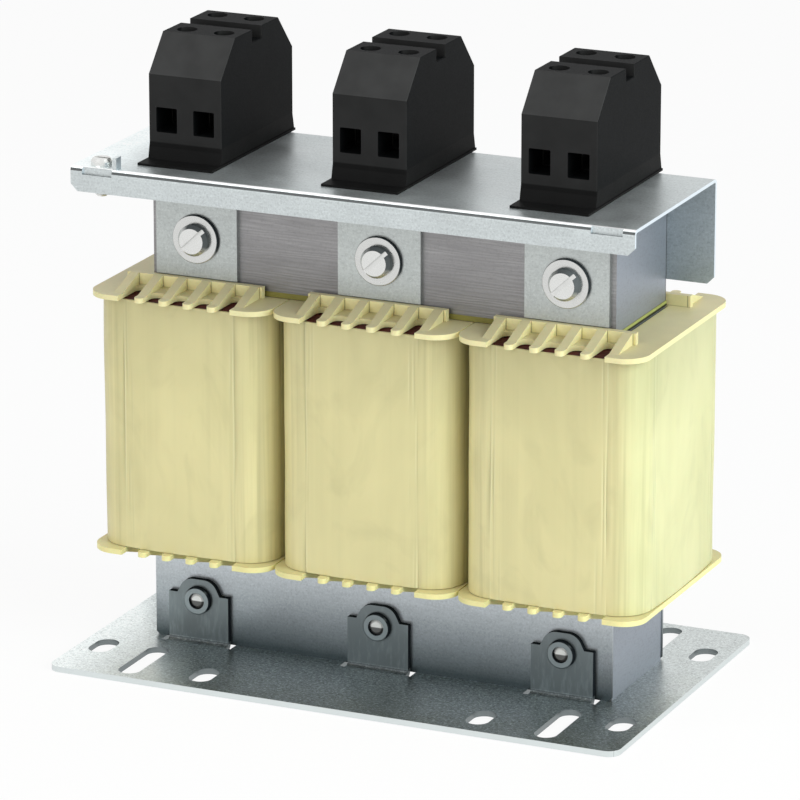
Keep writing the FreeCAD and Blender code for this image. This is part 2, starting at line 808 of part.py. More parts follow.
def make_clamping():
    """Straps, washers and screws that clamp the yokes, one of each per leg."""
    bodies = []
    slot_turn = FreeCAD.Rotation(Vector(0, 0, 1), s.screw_slot_turn.number)
    head_to_front = FreeCAD.Rotation(Vector(1, 0, 0), 90) * slot_turn
    head_to_rear = FreeCAD.Rotation(Vector(1, 0, 0), -90) * slot_turn
    upper_seat = strap_face + s.washer_thick
    lower_seat = tab_face + s.washer_thick
    collar_end = s.collar_proud - s.screw_tip_inset
    upper_sizes = clamp_screw_sizes(upper_seat + cover_rear_face + collar_end)
    lower_sizes = clamp_screw_sizes(lower_seat + tab_face + collar_end)
    for name, step in PHASES.items():
        x = leg_pitch * step
        bodies.append(make_strap(name, step))
        front, rear = s.core_back - strap_face, s.core_back + lower_seat
        bodies.append(make_washer(f"upper_washer_{name}", x, front, upper_screw_level))
        bodies.append(make_washer(f"lower_washer_{name}", x, rear, lower_screw_level))
        upper = new_body(f"upper_screw_{name}")
        make_screw(upper, f"{name}_upper_screw", upper_sizes)
        place(upper, x, s.core_back - upper_seat, upper_screw_level, head_to_front)
        lower = new_body(f"lower_screw_{name}")
        make_screw(lower, f"{name}_lower_screw", lower_sizes)
        place(lower, x, s.core_back + lower_seat, lower_screw_level, head_to_rear)
        bodies += [upper, lower]
    return bodies


def make_cover():
    """A folded sheet with a short front flange, a long rear flange and openings for the blocks."""
    body = new_body("cover_plate")
    front, rear, top = -s.cover_front_reach, cover_rear_face, s.cover_top
    outer_bend = s.cover_bend_radius + s.cover_thick
    front_low, rear_low = top - s.cover_front_drop, top - s.cover_rear_drop
    fold = Drawing(body, "YZ_Plane", "cover_side_view")
    fold.outline(
        (front, front_low),
        (front + s.cover_thick, front_low),
        (front + s.cover_thick, cover_floor, s.cover_bend_radius),
        (rear - s.cover_thick, cover_floor, s.cover_bend_radius),
        (rear - s.cover_thick, rear_low),
        (rear, rear_low),
        (rear, top, outer_bend),
        (front, top, outer_bend),
    )
    pad(fold, s.cover_wide, both=True)

    def is_lower_corner(edge):
        low = at_level(edge, "z", front_low) or at_level(edge, "z", rear_low)
        return low and runs_along(edge, "y")

    dress("Chamfer", body, s.cover_corner_cut, is_lower_corner)

    cutout = Drawing(body, "YZ_Plane", "edge_cutout", -s.cutout_offset)
    past = s.cover_thick
    cutout.box(front - past, front + s.cutout_deep, top - s.cutout_drop, top + past)
    mirror(body, [pocket(cutout, s.cutout_wide, both=True)], "YZ_Plane")

    lug_right = s.cutout_wide / 2 - s.cutout_offset + s.lug_thick
    lug = Drawing(body, "XY_Plane", "earth_lug", cover_floor)
    lug.box(lug_right - s.lug_thick, lug_right, front + s.cutout_deep, front + s.lug_deep)
    pad(lug, s.cover_thick + s.lug_high)
    earth = Drawing(body, "XY_Plane", "earth_hole", cover_floor)
    earth.circle(-s.earth_offset, front + s.earth_inset, s.earth_radius + s.screw_fit)
    pocket(earth, both=True, length=s.cover_thick * 4)

    block_middle = -s.block_forward
    left = -leg_pitch
    holes = Drawing(body, "XY_Plane", "block_openings", top)
    half_lead_wide, half_lead_deep = s.lead_hole_wide / 2, s.lead_hole_deep / 2
    holes.box(left - half_lead_wide, left + half_lead_wide, block_middle - half_lead_deep,
              block_middle + half_lead_deep, s.lead_hole_round)
    half_hook = s.hook_wide / 2 + s.hook_gap
    hook_outer = s.block_deep / 2 - s.hook_inset + s.hook_gap
    hook_inner = hook_outer - s.hook_thick - s.hook_gap * 2
    for side in SIDES.values():
        holes.box(left - half_hook, left + half_hook, block_middle + hook_inner * side,
                  block_middle + hook_outer * side)
    openings = pocket(holes, s.cover_thick)
    repeat_along(body, [openings], leg_pitch * 2, len(PHASES))

    collars = Drawing(body, "XZ_Plane", "rear_collars", -rear)
    for step in PHASES.values():
        collars.circle(leg_pitch * step, upper_screw_level, s.collar_radius)
    pad(collars, s.collar_proud, back=True)
    collar_end = rear + s.collar_proud
    dress("Chamfer", body, s.collar_chamfer, lambda edge: at_level(edge, "y", collar_end))
    row_of_holes(body, upper_screw_level, screw_hole_radius, "rear_collar_holes", both=False)
    return [place(body, 0, s.core_back, 0.0)]


def make_earth_point():
    """The earth screw through the cover and the nut below it."""
    y = s.core_back - s.cover_front_reach + s.earth_inset
    screw = new_body("earth_screw")
    make_screw(screw, "earth_screw", SimpleNamespace(
        radius=s.earth_radius, long=s.earth_screw_long, tip_chamfer=s.clamp_tip_chamfer,
        head_radius=s.earth_head_radius, face_radius=s.earth_face_radius,
        head_high=s.earth_head_high, head_rim=s.earth_head_rim,
        slot_wide=s.earth_slot_wide, slot_deep=s.earth_slot_deep,
    ))
    place(screw, -s.earth_offset, y, s.cover_top)
    nut = new_body("earth_nut")
    half_flat, corner = s.earth_nut_across / 2, s.earth_nut_across * HEX_CORNER
    hexagon = Drawing(nut, "XY_Plane", "nut_outline")
    hexagon.outline(
        (corner, 0.0),
        (corner / 2, half_flat),
        (-corner / 2, half_flat),
        (-corner, 0.0),
        (-corner / 2, -half_flat),
        (corner / 2, -half_flat),
    )
    hexagon.circle(0.0, 0.0, s.earth_radius + s.screw_fit)
    pad(hexagon, s.earth_nut_high, back=True)
    return [screw, place(nut, -s.earth_offset, y, cover_floor)]


def make_housing(name, step):
    """A moulded terminal block housing with two poles, open from below."""
    body = new_body(f"terminal_housing_{name}")
    half_wide, half_deep, half_top = s.block_wide / 2, s.block_deep / 2, s.block_top_deep / 2
    half_slot = s.cross_slot_wide / 2
    side_view = Drawing(body, "YZ_Plane", f"{name}_block_side")
    side_view.outline(
        (-half_deep - s.flare_out, 0.0),
        (half_deep + s.flare_out, 0.0),
        (half_deep, s.flare_rise),
        (half_deep, s.block_shoulder_rise),
        (half_top, s.block_rise),
        (half_slot, s.block_rise),
        (half_slot, s.block_rise - s.cross_slot_deep),
        (-half_slot, s.block_rise - s.cross_slot_deep),
        (-half_slot, s.block_rise),
        (-half_top, s.block_rise),
        (-half_deep, s.block_shoulder_rise),
        (-half_deep, s.flare_rise),
    )
    pad(side_view, s.block_wide, both=True)

    def is_side_rim(edge):
        above_flare = min(vertex.Z for vertex in edge.Vertexes) > s.flare_rise.number - TINY
        return above_flare and (at_level(edge, "x", half_wide) or at_level(edge, "x", -half_wide))

    dress("Fillet", body, s.block_round, is_side_rim)

    foot = Drawing(body, "XY_Plane", f"{name}_block_foot")
    foot.box(-s.foot_wide / 2, s.foot_wide / 2, -half_deep - s.foot_lip, half_deep + s.flare_out)
    pad(foot, s.foot_thick)

    half_cavity = s.cavity_wide / 2
    cavity_end = s.screw_row_offset + s.cavity_deep / 2
    access = Drawing(body, "XY_Plane", f"{name}_access_holes", s.block_rise)
    shanks = Drawing(body, "XY_Plane", f"{name}_shank_holes", s.ledge_rise)
    cavity = Drawing(body, "XY_Plane", f"{name}_cavities")
    entries = Drawing(body, "XZ_Plane", f"{name}_wire_entries")
    for pole in (-s.pole_offset, s.pole_offset):
        for row in (-s.screw_row_offset, s.screw_row_offset):
            access.circle(pole, row, s.access_radius)
            shanks.circle(pole, row, s.shank_hole_radius)
        cavity.box(pole - half_cavity, pole + half_cavity, -cavity_end, cavity_end)
        entries.box(pole - s.entry_wide / 2, pole + s.entry_wide / 2, s.entry_rise,
                    s.entry_rise + s.entry_high, s.entry_round)
    pocket(access, s.block_rise - s.ledge_rise)
    pocket(cavity, s.cavity_rise, back=True)
    pocket(shanks, s.ledge_rise - s.cavity_rise)
    pocket(entries, both=True)

    hook_outer = half_deep - s.hook_inset
    hook_inner = hook_outer - s.hook_thick
    barb_top = -s.cover_thick - s.hook_gap
    hook_end = barb_top - s.hook_barb_high
    hooks = Drawing(body, "YZ_Plane", f"{name}_hooks")
    for side in SIDES.values():
        hooks.outline(
            (hook_outer * side, s.foot_thick),
            (hook_outer * side, hook_end),
            (hook_inner * side, hook_end),
            ((hook_inner - s.hook_barb) * side, barb_top - s.hook_barb),
            ((hook_inner - s.hook_barb) * side, barb_top),
            (hook_inner * side, barb_top),
            (hook_inner * side, s.foot_thick),
        )
    pad(hooks, s.hook_wide, both=True)
    return place(body, leg_pitch * step, s.core_back - s.block_forward, s.cover_top)


def make_cages(name, step):
    """Four steel clamp cages, open to the front and rear, with a screw hole on top."""
    body = new_body(f"terminal_clamps_{name}", separate_solids=True)
    half_wide, half_deep = s.cavity_wide / 2 - s.cage_gap, s.cavity_deep / 2 - s.cage_gap
    cage = Drawing(body, "XZ_Plane", f"{name}_cage")
    for x, low, high in (
        (half_wide, -s.cage_high, 0.0),
        (half_wide - s.cage_wall, s.cage_wall - s.cage_high, -s.cage_wall),
    ):
        cage.box(-x, x, low, high)
    tube = pad(cage, half_deep * 2, both=True)
    hole = Drawing(body, "XY_Plane", f"{name}_cage_hole")
    hole.circle(0.0, 0.0, s.clamp_screw_radius + s.screw_fit)
    bore = pocket(hole, s.cage_wall)
    repeat_four(body, [tube, bore], s.pole_offset * 2, s.screw_row_offset * 2)
    return place_in_block(body, step, s.cavity_rise)


def make_terminal_screws(name, step):
    """Four slotted screws that stand on the ledges of the access holes."""
    body = new_body(f"terminal_screws_{name}", separate_solids=True)
    features = make_screw(body, f"{name}_terminal_screw", SimpleNamespace(
        radius=s.clamp_screw_radius, long=s.clamp_screw_long, tip_chamfer=s.clamp_tip_chamfer,
        head_radius=s.clamp_head_radius, face_radius=s.clamp_face_radius,
        head_high=s.clamp_head_high, head_rim=s.clamp_head_rim,
        slot_wide=s.clamp_slot_wide, slot_deep=s.clamp_slot_deep,
    ))
    repeat_four(body, features, s.pole_offset * 2, s.screw_row_offset * 2)
    return place_in_block(body, step, s.ledge_rise)


def place_in_block(body, step, rise):
    """Put a group of four at the left front pole of a terminal block."""
    x = leg_pitch * step - s.pole_offset
    y = s.core_back - s.block_forward - s.screw_row_offset
    return place(body, x, y, s.cover_top + rise)


def make_terminals():
    bodies = []
    for name, step in PHASES.items():
        bodies.append(make_housing(name, step))
        bodies.append(make_cages(name, step))
        bodies.append(make_terminal_screws(name, step))
    return bodies


def write_parts(bodies):
    """Check every object and write one file per sub-part."""
    doc.recompute()
    failed = [item.Name for item in doc.Objects if {"Invalid", "Error"} & set(item.State)]
    if failed:
        raise RuntimeError(f"failed objects: {failed}")
    os.makedirs("parts", exist_ok=True)
    for body in bodies:
        shape = body.Shape
        solids = 4 if body.AllowCompound else 1
        if shape.isNull() or not shape.isValid() or len(shape.Solids) != solids:
            raise RuntimeError(f"{body.Label} is not a sound solid")
        shape.exportStep(f"parts/{body.Label}.step")


def main():
    bodies = make_base_plate()
    bodies += make_core()
    bodies += make_side_sheets()
    bodies += make_gap_sheet()
    bodies += make_upper_yoke()
    bodies += make_coils()
    bodies += make_clamping()
    bodies += make_cover()
    bodies += make_earth_point()
    bodies += make_terminals()
    write_parts(bodies)


main()
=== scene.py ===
import math

import bmesh
import bpy
from bpy.props import FloatProperty, FloatVectorProperty, IntProperty, PointerProperty
from mathutils import Matrix, Vector, noise


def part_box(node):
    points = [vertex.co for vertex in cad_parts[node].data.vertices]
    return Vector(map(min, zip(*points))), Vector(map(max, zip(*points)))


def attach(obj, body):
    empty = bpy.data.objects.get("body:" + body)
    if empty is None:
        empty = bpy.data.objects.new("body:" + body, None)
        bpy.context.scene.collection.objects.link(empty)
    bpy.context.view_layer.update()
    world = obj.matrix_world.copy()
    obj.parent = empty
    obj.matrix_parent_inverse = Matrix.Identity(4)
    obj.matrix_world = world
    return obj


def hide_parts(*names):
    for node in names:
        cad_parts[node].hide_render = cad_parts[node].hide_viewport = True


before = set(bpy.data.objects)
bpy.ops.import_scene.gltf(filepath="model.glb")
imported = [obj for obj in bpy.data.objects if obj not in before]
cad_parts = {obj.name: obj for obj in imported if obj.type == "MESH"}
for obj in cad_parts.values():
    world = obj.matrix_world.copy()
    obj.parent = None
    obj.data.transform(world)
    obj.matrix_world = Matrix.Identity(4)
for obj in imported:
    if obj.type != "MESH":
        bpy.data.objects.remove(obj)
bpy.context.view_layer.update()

bl_info = {
    "name": "Line reactor looks",
    "version": (1, 0, 0),
    "blender": (4, 5, 0),
    "location": "3D View > Sidebar > Reactor",
    "description": "Dresses the solids of a three phase line reactor and sets its studio",
    "category": "Object",
}

PHASES = ("left", "mid", "right")
MM = 0.001
ZINC_METAL = 0.92
PLAIN_GLOSS = 0.5
WHITE = (1.0, 1.0, 1.0, 1.0)

# Places on the part that the finishes refer to
STRAP_FOOT = (116 * MM, 125 * MM)
YOKE_FOOT = (117 * MM, 133 * MM)
YOKE_LOW = (114 * MM, 115 * MM)
YOKE_REAR = (23.1 * MM, 23.3 * MM)
COVER_LEFT = (-84 * MM, -70 * MM)
COVER_REAR = (20 * MM, 23 * MM)
COVER_LEDGES = (150 * MM, 150.5 * MM, 152 * MM, 152.5 * MM)
PLATE_LEFT = (-90 * MM, -70 * MM)
PLATE_DEPTH = (-54 * MM, -22 * MM)
PLATE_PAINTED_SHADE = (-90 * MM, -74 * MM, 60 * MM, 92 * MM)
PLATE_EDGE = (1.85 * MM, 1.95 * MM)
PLATE_BENDS = (1.8 * MM, 1.85 * MM, 4.5 * MM, 5 * MM)
TAB_FOOT = (2.2 * MM, 3.2 * MM)
TAB_HEIGHT = (4 * MM, 19 * MM)
SIDE_HEIGHT = (3 * MM, 29 * MM)
LEG_PITCH = 60 * MM
RIB_PITCH = 8 * MM
RIB_START = 10 * MM
RIB_CORNER_SHADE = (1.3 * MM, 1.45 * MM, 1.6 * MM, 1.8 * MM)
FLANGE_TOP = (113.3 * MM, 113.4 * MM)
WALL_FOOT = (113.6 * MM, 113.75 * MM)
LOWER_FLANGE = (50 * MM, 60 * MM)
WRAP_TOP = (84 * MM, 111 * MM)
WRAP_RIGHT = (70 * MM, 84 * MM)
GAP_LINE = (114.2 * MM, 114.4 * MM)


def middle(node):
    low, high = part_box(node)
    return (low + high) / 2


# Node helpers


def feed(tree, socket, value):
    """Link another node's socket, or set a value."""
    if isinstance(value, bpy.types.NodeSocket):
        tree.links.new(value, socket)
    elif value is not None:
        socket.default_value = value


def add_node(tree, kind, inputs=None, **settings):
    """A node with its settings and then its inputs, which are named or numbered."""
    node = tree.nodes.new(kind)
    for name, value in settings.items():
        setattr(node, name, value)
    for name, value in (inputs or {}).items():
        feed(tree, node.inputs[name], value)
    return node


class Recipe:
    """A material under construction, with short calls for the nodes that it is made of."""

    def __init__(self, name):
        self.material = bpy.data.materials.new(name)
        self.material.use_nodes = True
        self.tree = self.material.node_tree
        self.tree.nodes.clear()
        self.shader = self.add("ShaderNodeBsdfPrincipled")
        self.output = self.add("ShaderNodeOutputMaterial", {"Surface": self.shader.outputs["BSDF"]})
        self.space = self.add("ShaderNodeTexCoord").outputs["Object"]

    def add(self, kind, inputs=None, **settings):
        return add_node(self.tree, kind, inputs, **settings)

    def place(self, stretch=(1, 1, 1), move=(0, 0, 0), turn=(0, 0, 0)):
        return self.add("ShaderNodeMapping", {
            "Vector": self.space, "Scale": stretch, "Location": move, "Rotation": turn,
        }).outputs["Vector"]

    def noise(self, where, scale, detail=2.0, rough=0.5, bend=0.0):
        return self.add("ShaderNodeTexNoise", {
            "Vector": where, "Scale": scale, "Detail": detail, "Roughness": rough, "Distortion": bend,
        }).outputs["Fac"]

    def patches(self, where, scale):
        """An even grey of its own for each crystal."""
        cells = self.add("ShaderNodeTexVoronoi", {"Vector": where, "Scale": scale})
        return self.add("ShaderNodeSeparateColor", {0: cells.outputs["Color"]}).outputs[0]

    def waves(self, where, scale, bend, detail, direction="Z"):
        return self.add("ShaderNodeTexWave", {
            "Vector": where, "Scale": scale, "Distortion": bend, "Detail": detail,
        }, wave_type="BANDS", bands_direction=direction).outputs["Fac"]

    def axis(self, name):
        """A coordinate of the place."""
        return self.add("ShaderNodeSeparateXYZ", {0: self.space}).outputs[name]

    def normal(self, name):
        """A coordinate of the direction that the surface faces."""
        normal = self.add("ShaderNodeNewGeometry").outputs["Normal"]
        return self.add("ShaderNodeSeparateXYZ", {0: normal}).outputs[name]

    def facing(self, name):
        """How squarely the surface faces along an axis, either way."""
        return self.math("ABSOLUTE", self.normal(name))

    def math(self, operation, a, b=0.0):
        return self.add("ShaderNodeMath", {0: a, 1: b}, operation=operation).outputs[0]

    def times(self, first, *others):
        for other in others:
            first = self.math("MULTIPLY", first, other)
        return first

    def span(self, value, low, high, to_low=0.0, to_high=1.0):
        return self.add("ShaderNodeMapRange", {
            "Value": value, "From Min": low, "From Max": high, "To Min": to_low, "To Max": to_high,
        }, clamp=True).outputs["Result"]

    def fade(self, value, low, high):
        """One below the low value, zero above the high one."""
        return self.span(value, low, high, 1.0, 0.0)

    def band(self, value, start, full, fall, end):
        """One between full and fall, zero before start and after end."""
        return self.times(self.span(value, start, full), self.fade(value, fall, end))

    def distance_from(self, low, high, reach):
        """How far a place is from a box, where one is the given reach on each axis."""
        centre, half = (low + high) / 2, (high - low) / 2
        value = self.space
        for operation, other in (
            ("SUBTRACT", centre), ("ABSOLUTE", None), ("SUBTRACT", half), ("MAXIMUM", (0, 0, 0)),
            ("DIVIDE", reach), ("MULTIPLY", (1, 1, 0)), ("LENGTH", None),
        ):
            node = self.add("ShaderNodeVectorMath", {0: value, 1: other}, operation=operation)
            value = node.outputs["Value" if operation == "LENGTH" else "Vector"]
        return value

    def blend(self, share, first, second, mode="MIX"):
        return self.add("ShaderNodeMix", {
            "Factor": share, "A": first, "B": second,
        }, data_type="RGBA", blend_type=mode).outputs["Result"]

    def tint(self, color, factors):
        """The colour that a socket brings, times a factor for each channel."""
        return self.blend(1.0, color, rgba(factors), "MULTIPLY")

    def shade(self, color, factor):
        """The colour, or the colour that a socket brings, made darker or lighter."""
        if isinstance(color, bpy.types.NodeSocket):
            return self.tint(color, (factor, factor, factor))
        return shade(color, factor)

    def bump(self, height, strength, depth):
        node = self.add("ShaderNodeBump", {"Height": height, "Strength": strength, "Distance": depth})
        feed(self.tree, self.shader.inputs["Normal"], node.outputs["Normal"])

    def painted_shade_matte(self, share, **values):
        """Bare metal, but neither metal nor glossy where the share is one, so that painted shade there stays
        dark.
        """
        metal = self.span(share, 0.0, 1.0, ZINC_METAL, 0.0)
        return self.set(metal=metal, gloss=self.span(share, 0.0, 1.0, PLAIN_GLOSS, 0.0), **values)

    def set(self, **values):
        names = {
            "color": "Base Color", "metal": "Metallic", "rough": "Roughness",
            "gloss": "Specular IOR Level", "coat": "Coat Weight", "coat_rough": "Coat Roughness",
            "soft": "Subsurface Weight", "soft_scale": "Subsurface Scale",
        }
        for name, value in values.items():
            feed(self.tree, self.shader.inputs[names[name]], value)
        return self.material


def rgba(color):
    return (color[0], color[1], color[2], 1.0)


def shade(color, factor):
    return tuple(min(1.0, channel * factor) for channel in color[:3]) + (1.0,)


# Finishes


def mottle(recipe, color, blotches=0.30, specks=0.45, streaks=0.3):
    """The uneven tone of zinc coated sheet: crystal patches, dark specks and rolling streaks."""
    patches = recipe.patches(recipe.space, 420.0)
    cloud = recipe.noise(recipe.space, 75.0, 4.0, 0.6)
    grain = recipe.noise(recipe.space, 1300.0, 4.0, 0.75)
    flecks = recipe.noise(recipe.place(move=(0.3, 0.1, 0.2)), 1500.0, 3.0, 0.75)
    rolled = recipe.noise(recipe.place(stretch=(0.10, 1, 1)), 1300.0, 2.0, 0.6)
    tone = recipe.blend(recipe.span(patches, 0.0, 1.0, 0.0, blotches), color, recipe.shade(color, 0.82))
    tone = recipe.blend(recipe.span(cloud, 0.38, 0.72, 0.0, 0.4), tone, recipe.shade(color, 1.14))
    tone = recipe.blend(recipe.span(grain, 0.48, 0.66, 0.0, specks), tone, recipe.shade(color, 0.6))
    tone = recipe.blend(recipe.span(flecks, 0.5, 0.68, 0.0, specks), tone, recipe.shade(color, 1.36))
    tone = recipe.blend(recipe.span(rolled, 0.5, 0.75, 0.0, streaks), tone, recipe.shade(color, 1.22))
    recipe.bump(grain, 0.18, 0.00012)
    return tone, cloud


def galvanised(name, color, rough=0.34):
    """Zinc coated sheet."""
    recipe = Recipe(name)
    foot = recipe.span(recipe.axis("Z"), *STRAP_FOOT)
    tone, cloud = mottle(recipe, recipe.blend(foot, shade(color, 0.8), rgba(color)))
    rough = recipe.span(cloud, 0.3, 0.7, rough - 0.05, rough + 0.07)
    return recipe.set(color=tone, metal=ZINC_METAL, rough=rough)


def folded_cover(name, color):
    """The cover's sheet, with a painted highlight along its front fold, painted shade just below it and in
    its notches, painted light at its left end and painted shade inside its rear flange.
    """
    recipe = Recipe(name)
    front_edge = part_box("cover_plate")[0].y
    rise = recipe.normal("Z")
    level = recipe.span(rise, 0.9, 0.95)
    # Painted light: level faces at the left end are made lighter.
    painted_light_left_end = recipe.times(recipe.fade(recipe.axis("X"), *COVER_LEFT), level)
    # Painted shade inside the rear flange, darker and bluish.
    rear = recipe.span(recipe.axis("Y"), *COVER_REAR)
    inside = recipe.times(rear, recipe.fade(recipe.normal("Y"), -0.95, -0.9))
    plain = recipe.blend(painted_light_left_end, rgba(color), shade(color, 1.7))
    plain = recipe.blend(inside, plain, shade((color[0] * 0.95, color[1], color[2] * 1.05), 0.74))
    tone, cloud = mottle(recipe, plain, 0.2, 0.52, 0.45)
    # Painted highlight along the front fold, with a painted dark band just below it.
    front = recipe.fade(recipe.axis("Y"), front_edge + 2 * MM, front_edge + 3 * MM)
    dull = recipe.times(recipe.band(rise, 0.10, 0.2, 0.56, 0.66), front)
    bright = recipe.times(recipe.band(rise, 0.66, 0.76, 0.95, 0.995), front)
    tone = recipe.blend(dull, tone, shade(color, 0.13))
    tone = recipe.blend(bright, tone, WHITE)
    edge = recipe.span(recipe.facing("X"), 0.6, 0.9)
    tone = recipe.blend(edge, tone, (0.78, 0.86, 0.92, 1.0))
    # Painted shade on the level ledges in the front notches.
    painted_notch_shade = recipe.times(recipe.band(recipe.axis("Z"), *COVER_LEDGES), level, front)
    tone = recipe.blend(painted_notch_shade, tone, shade(color, 0.2))
    return recipe.set(color=tone, metal=0.84, rough=recipe.span(cloud, 0.3, 0.7, 0.33, 0.44))


def plate_with_painted_shade(name, color, dark):
    """The base plate's sheet, bright at its ends, lighter still at its left end by painted light, and
    darkened by painted shade in front of the core and on its tabs.
    """
    recipe = Recipe(name)
    low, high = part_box("base_plate")
    # Painted shade in a slanting zone in front of the core, darkest towards the plate's front edge.
    across = recipe.math("ADD", recipe.axis("X"), recipe.times(recipe.axis("Y"), 0.6))
    painted_shade_zone = recipe.band(across, *PLATE_PAINTED_SHADE)
    near = recipe.span(recipe.axis("Y"), *PLATE_DEPTH)
    painted_shade_tone = recipe.blend(near, shade(dark, 1.08), shade(dark, 1.85))
    # Painted light at the left end of the plate.
    painted_light_left_end = recipe.fade(recipe.axis("X"), *PLATE_LEFT)
    clean = recipe.blend(painted_light_left_end, rgba(color), shade(color, 1.48))
    tone, cloud = mottle(recipe, recipe.blend(painted_shade_zone, clean, painted_shade_tone), specks=1.0)
    for scale, factor in ((1150.0, 2.4), (1350.0, 0.25)):
        spots = recipe.noise(recipe.place(move=(factor, 0, 0)), scale, 3.0, 0.75)
        spots = recipe.span(spots, 0.5, 0.66, 0.0, 0.8)
        tone = recipe.blend(recipe.times(spots, painted_shade_zone), tone, recipe.shade(tone, factor))
    # Painted shade on the tabs: they take the dark shade colour, darker towards their foot and lighter at the
    # top.
    upright = recipe.span(recipe.axis("Z"), *TAB_FOOT)
    level = recipe.span(recipe.axis("Z"), *TAB_HEIGHT)
    grain = recipe.noise(recipe.place(stretch=(1, 1, 0.2)), 900.0, 3.0, 0.6)
    tab = recipe.blend(level, shade(dark, 0.76), shade(dark, 1.28))
    tab = recipe.blend(recipe.span(grain, 0.5, 0.7, 0.0, 0.3), tab, shade(dark, 1.7))
    tone = recipe.blend(upright, tone, tab)
    # Painted light on the face of the collar round each hole.
    tab_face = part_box("side_sheet_front")[0].y - 1.8 * MM
    proud = recipe.fade(recipe.axis("Y"), tab_face - 0.3 * MM, tab_face - 0.1 * MM)
    collar = recipe.times(proud, recipe.span(recipe.axis("Z"), 5 * MM, 6 * MM))
    tone = recipe.blend(collar, tone, shade(dark, 1.75))
    # Edge faces of the sheet: lighter round the outside, painted shade on the edges inside holes and notches.
    edge = recipe.times(recipe.fade(recipe.facing("Z"), 0.3, 0.6), recipe.fade(recipe.axis("Z"), *PLATE_EDGE))
    inset = Vector((1.2 * MM, 1.2 * MM, 0))
    outer = recipe.distance_from(low + inset, high - inset, (0.1 * MM, 0.1 * MM, 1.0))
    tone = recipe.blend(edge, tone, recipe.blend(
        recipe.span(outer, 0.0, 1.0), (0.2, 0.225, 0.23, 1.0), (0.68, 0.73, 0.73, 1.0)))
    # Painted shade: faces of the tabs that face up or right, and the bends at their foot, go black and matte.
    out = recipe.math("MAXIMUM", recipe.normal("Z"), recipe.normal("X"))
    rim = recipe.times(recipe.span(out, 0.25, 0.6), upright)
    bend = recipe.times(recipe.band(recipe.normal("Z"), 0.03, 0.1, 0.94, 0.99),
                        recipe.band(recipe.axis("Z"), *PLATE_BENDS))
    rim = recipe.math("MAXIMUM", rim, recipe.times(bend, 0.7))
    tone = recipe.blend(rim, tone, (0.012, 0.015, 0.018, 1.0))
    return recipe.painted_shade_matte(rim, color=tone, rough=recipe.span(cloud, 0.3, 0.7, 0.30, 0.42))


def shaded_sheet(name, color, dark):
    """The sheets beside the lower yoke, darkened towards the base plate by painted shade."""
    recipe = Recipe(name)
    # Painted shade: the sheet goes darker towards the base plate.
    level = recipe.span(recipe.axis("Z"), *SIDE_HEIGHT)
    tone, cloud = mottle(recipe, recipe.blend(level, rgba(dark), rgba(color)))
    return recipe.set(color=tone, metal=ZINC_METAL, rough=recipe.span(cloud, 0.3, 0.7, 0.30, 0.42))


def stacked_sheets(name, color, edge_color):
    """Faces of the stacked core: fine wavy streaks on the front, sheet edges on the ends, painted shade
    darkening the front towards its foot and a painted shadow line along the rear edge of the upper ends.
    """
    recipe = Recipe(name)
    streaks = recipe.waves(recipe.place(stretch=(0.10, 0.4, 1)), 300.0, 11.0, 4.0)
    fine = recipe.noise(recipe.place(stretch=(0.05, 0.3, 1.0)), 1400.0, 3.0, 0.6)
    cloud = recipe.noise(recipe.place(stretch=(0.5, 1, 1)), 60.0, 3.0, 0.5, 1.0)
    grain = recipe.noise(recipe.space, 1100.0, 2.0, 0.7)
    edges = recipe.waves(recipe.place(stretch=(0.03, 1, 0.03)), 500.0, 0.6, 2.0, "Y")
    side = recipe.facing("X")
    front = recipe.blend(recipe.span(streaks, 0.0, 1.0, 0.0, 0.35), rgba(color), shade(color, 0.74))
    front = recipe.blend(recipe.span(fine, 0.45, 0.75, 0.0, 0.55), front, shade(color, 1.3))
    front = recipe.blend(recipe.span(cloud, 0.42, 0.7, 0.0, 0.5), front, shade(color, 0.74))
    # Painted shade: the front is lighter at the top and darker towards its foot near the gap board.
    level = recipe.fade(recipe.axis("Z"), *YOKE_FOOT)
    front = recipe.blend(level, recipe.shade(front, 1.06), recipe.shade(front, 0.8))
    ends = recipe.blend(recipe.span(edges, 0.3, 0.9, 0.0, 0.3), rgba(edge_color), shade(edge_color, 0.84))
    # Painted shadow: a dark line along the rear edge of the upper yoke's end faces.
    painted_shadow_line = recipe.times(recipe.span(recipe.axis("Y"), *YOKE_REAR), recipe.span(recipe.axis("Z"), *YOKE_LOW))
    ends = recipe.blend(painted_shadow_line, ends, shade(edge_color, 0.25))
    tone = recipe.blend(recipe.span(side, 0.4, 0.6), front, ends)
    tone = recipe.blend(recipe.span(grain, 0.5, 0.75, 0.0, 0.3), tone, shade(color, 0.6))
    recipe.bump(recipe.math("ADD", fine, streaks), 0.15, 0.0001)
    return recipe.set(color=tone, metal=0.8, rough=0.46)


def corner_shade_lines(recipe):
    """Painted shade lines in the corners where the ribs and the flange meet the stop walls."""
    place = recipe.math("FLOORED_MODULO", recipe.math("ADD", recipe.axis("X"), LEG_PITCH / 2), LEG_PITCH)
    place = recipe.math("FLOORED_MODULO", recipe.math("SUBTRACT", place, RIB_START), RIB_PITCH)
    beside = recipe.band(place, *RIB_CORNER_SHADE)
    foot = recipe.fade(recipe.axis("Z"), *WALL_FOOT)
    wall = recipe.span(recipe.facing("Y"), 0.9, 0.95)
    above = recipe.span(recipe.axis("Z"), *FLANGE_TOP)
    line = recipe.math("MAXIMUM", beside, recipe.times(foot, 0.5))
    return recipe.times(wall, above, line, 0.75)


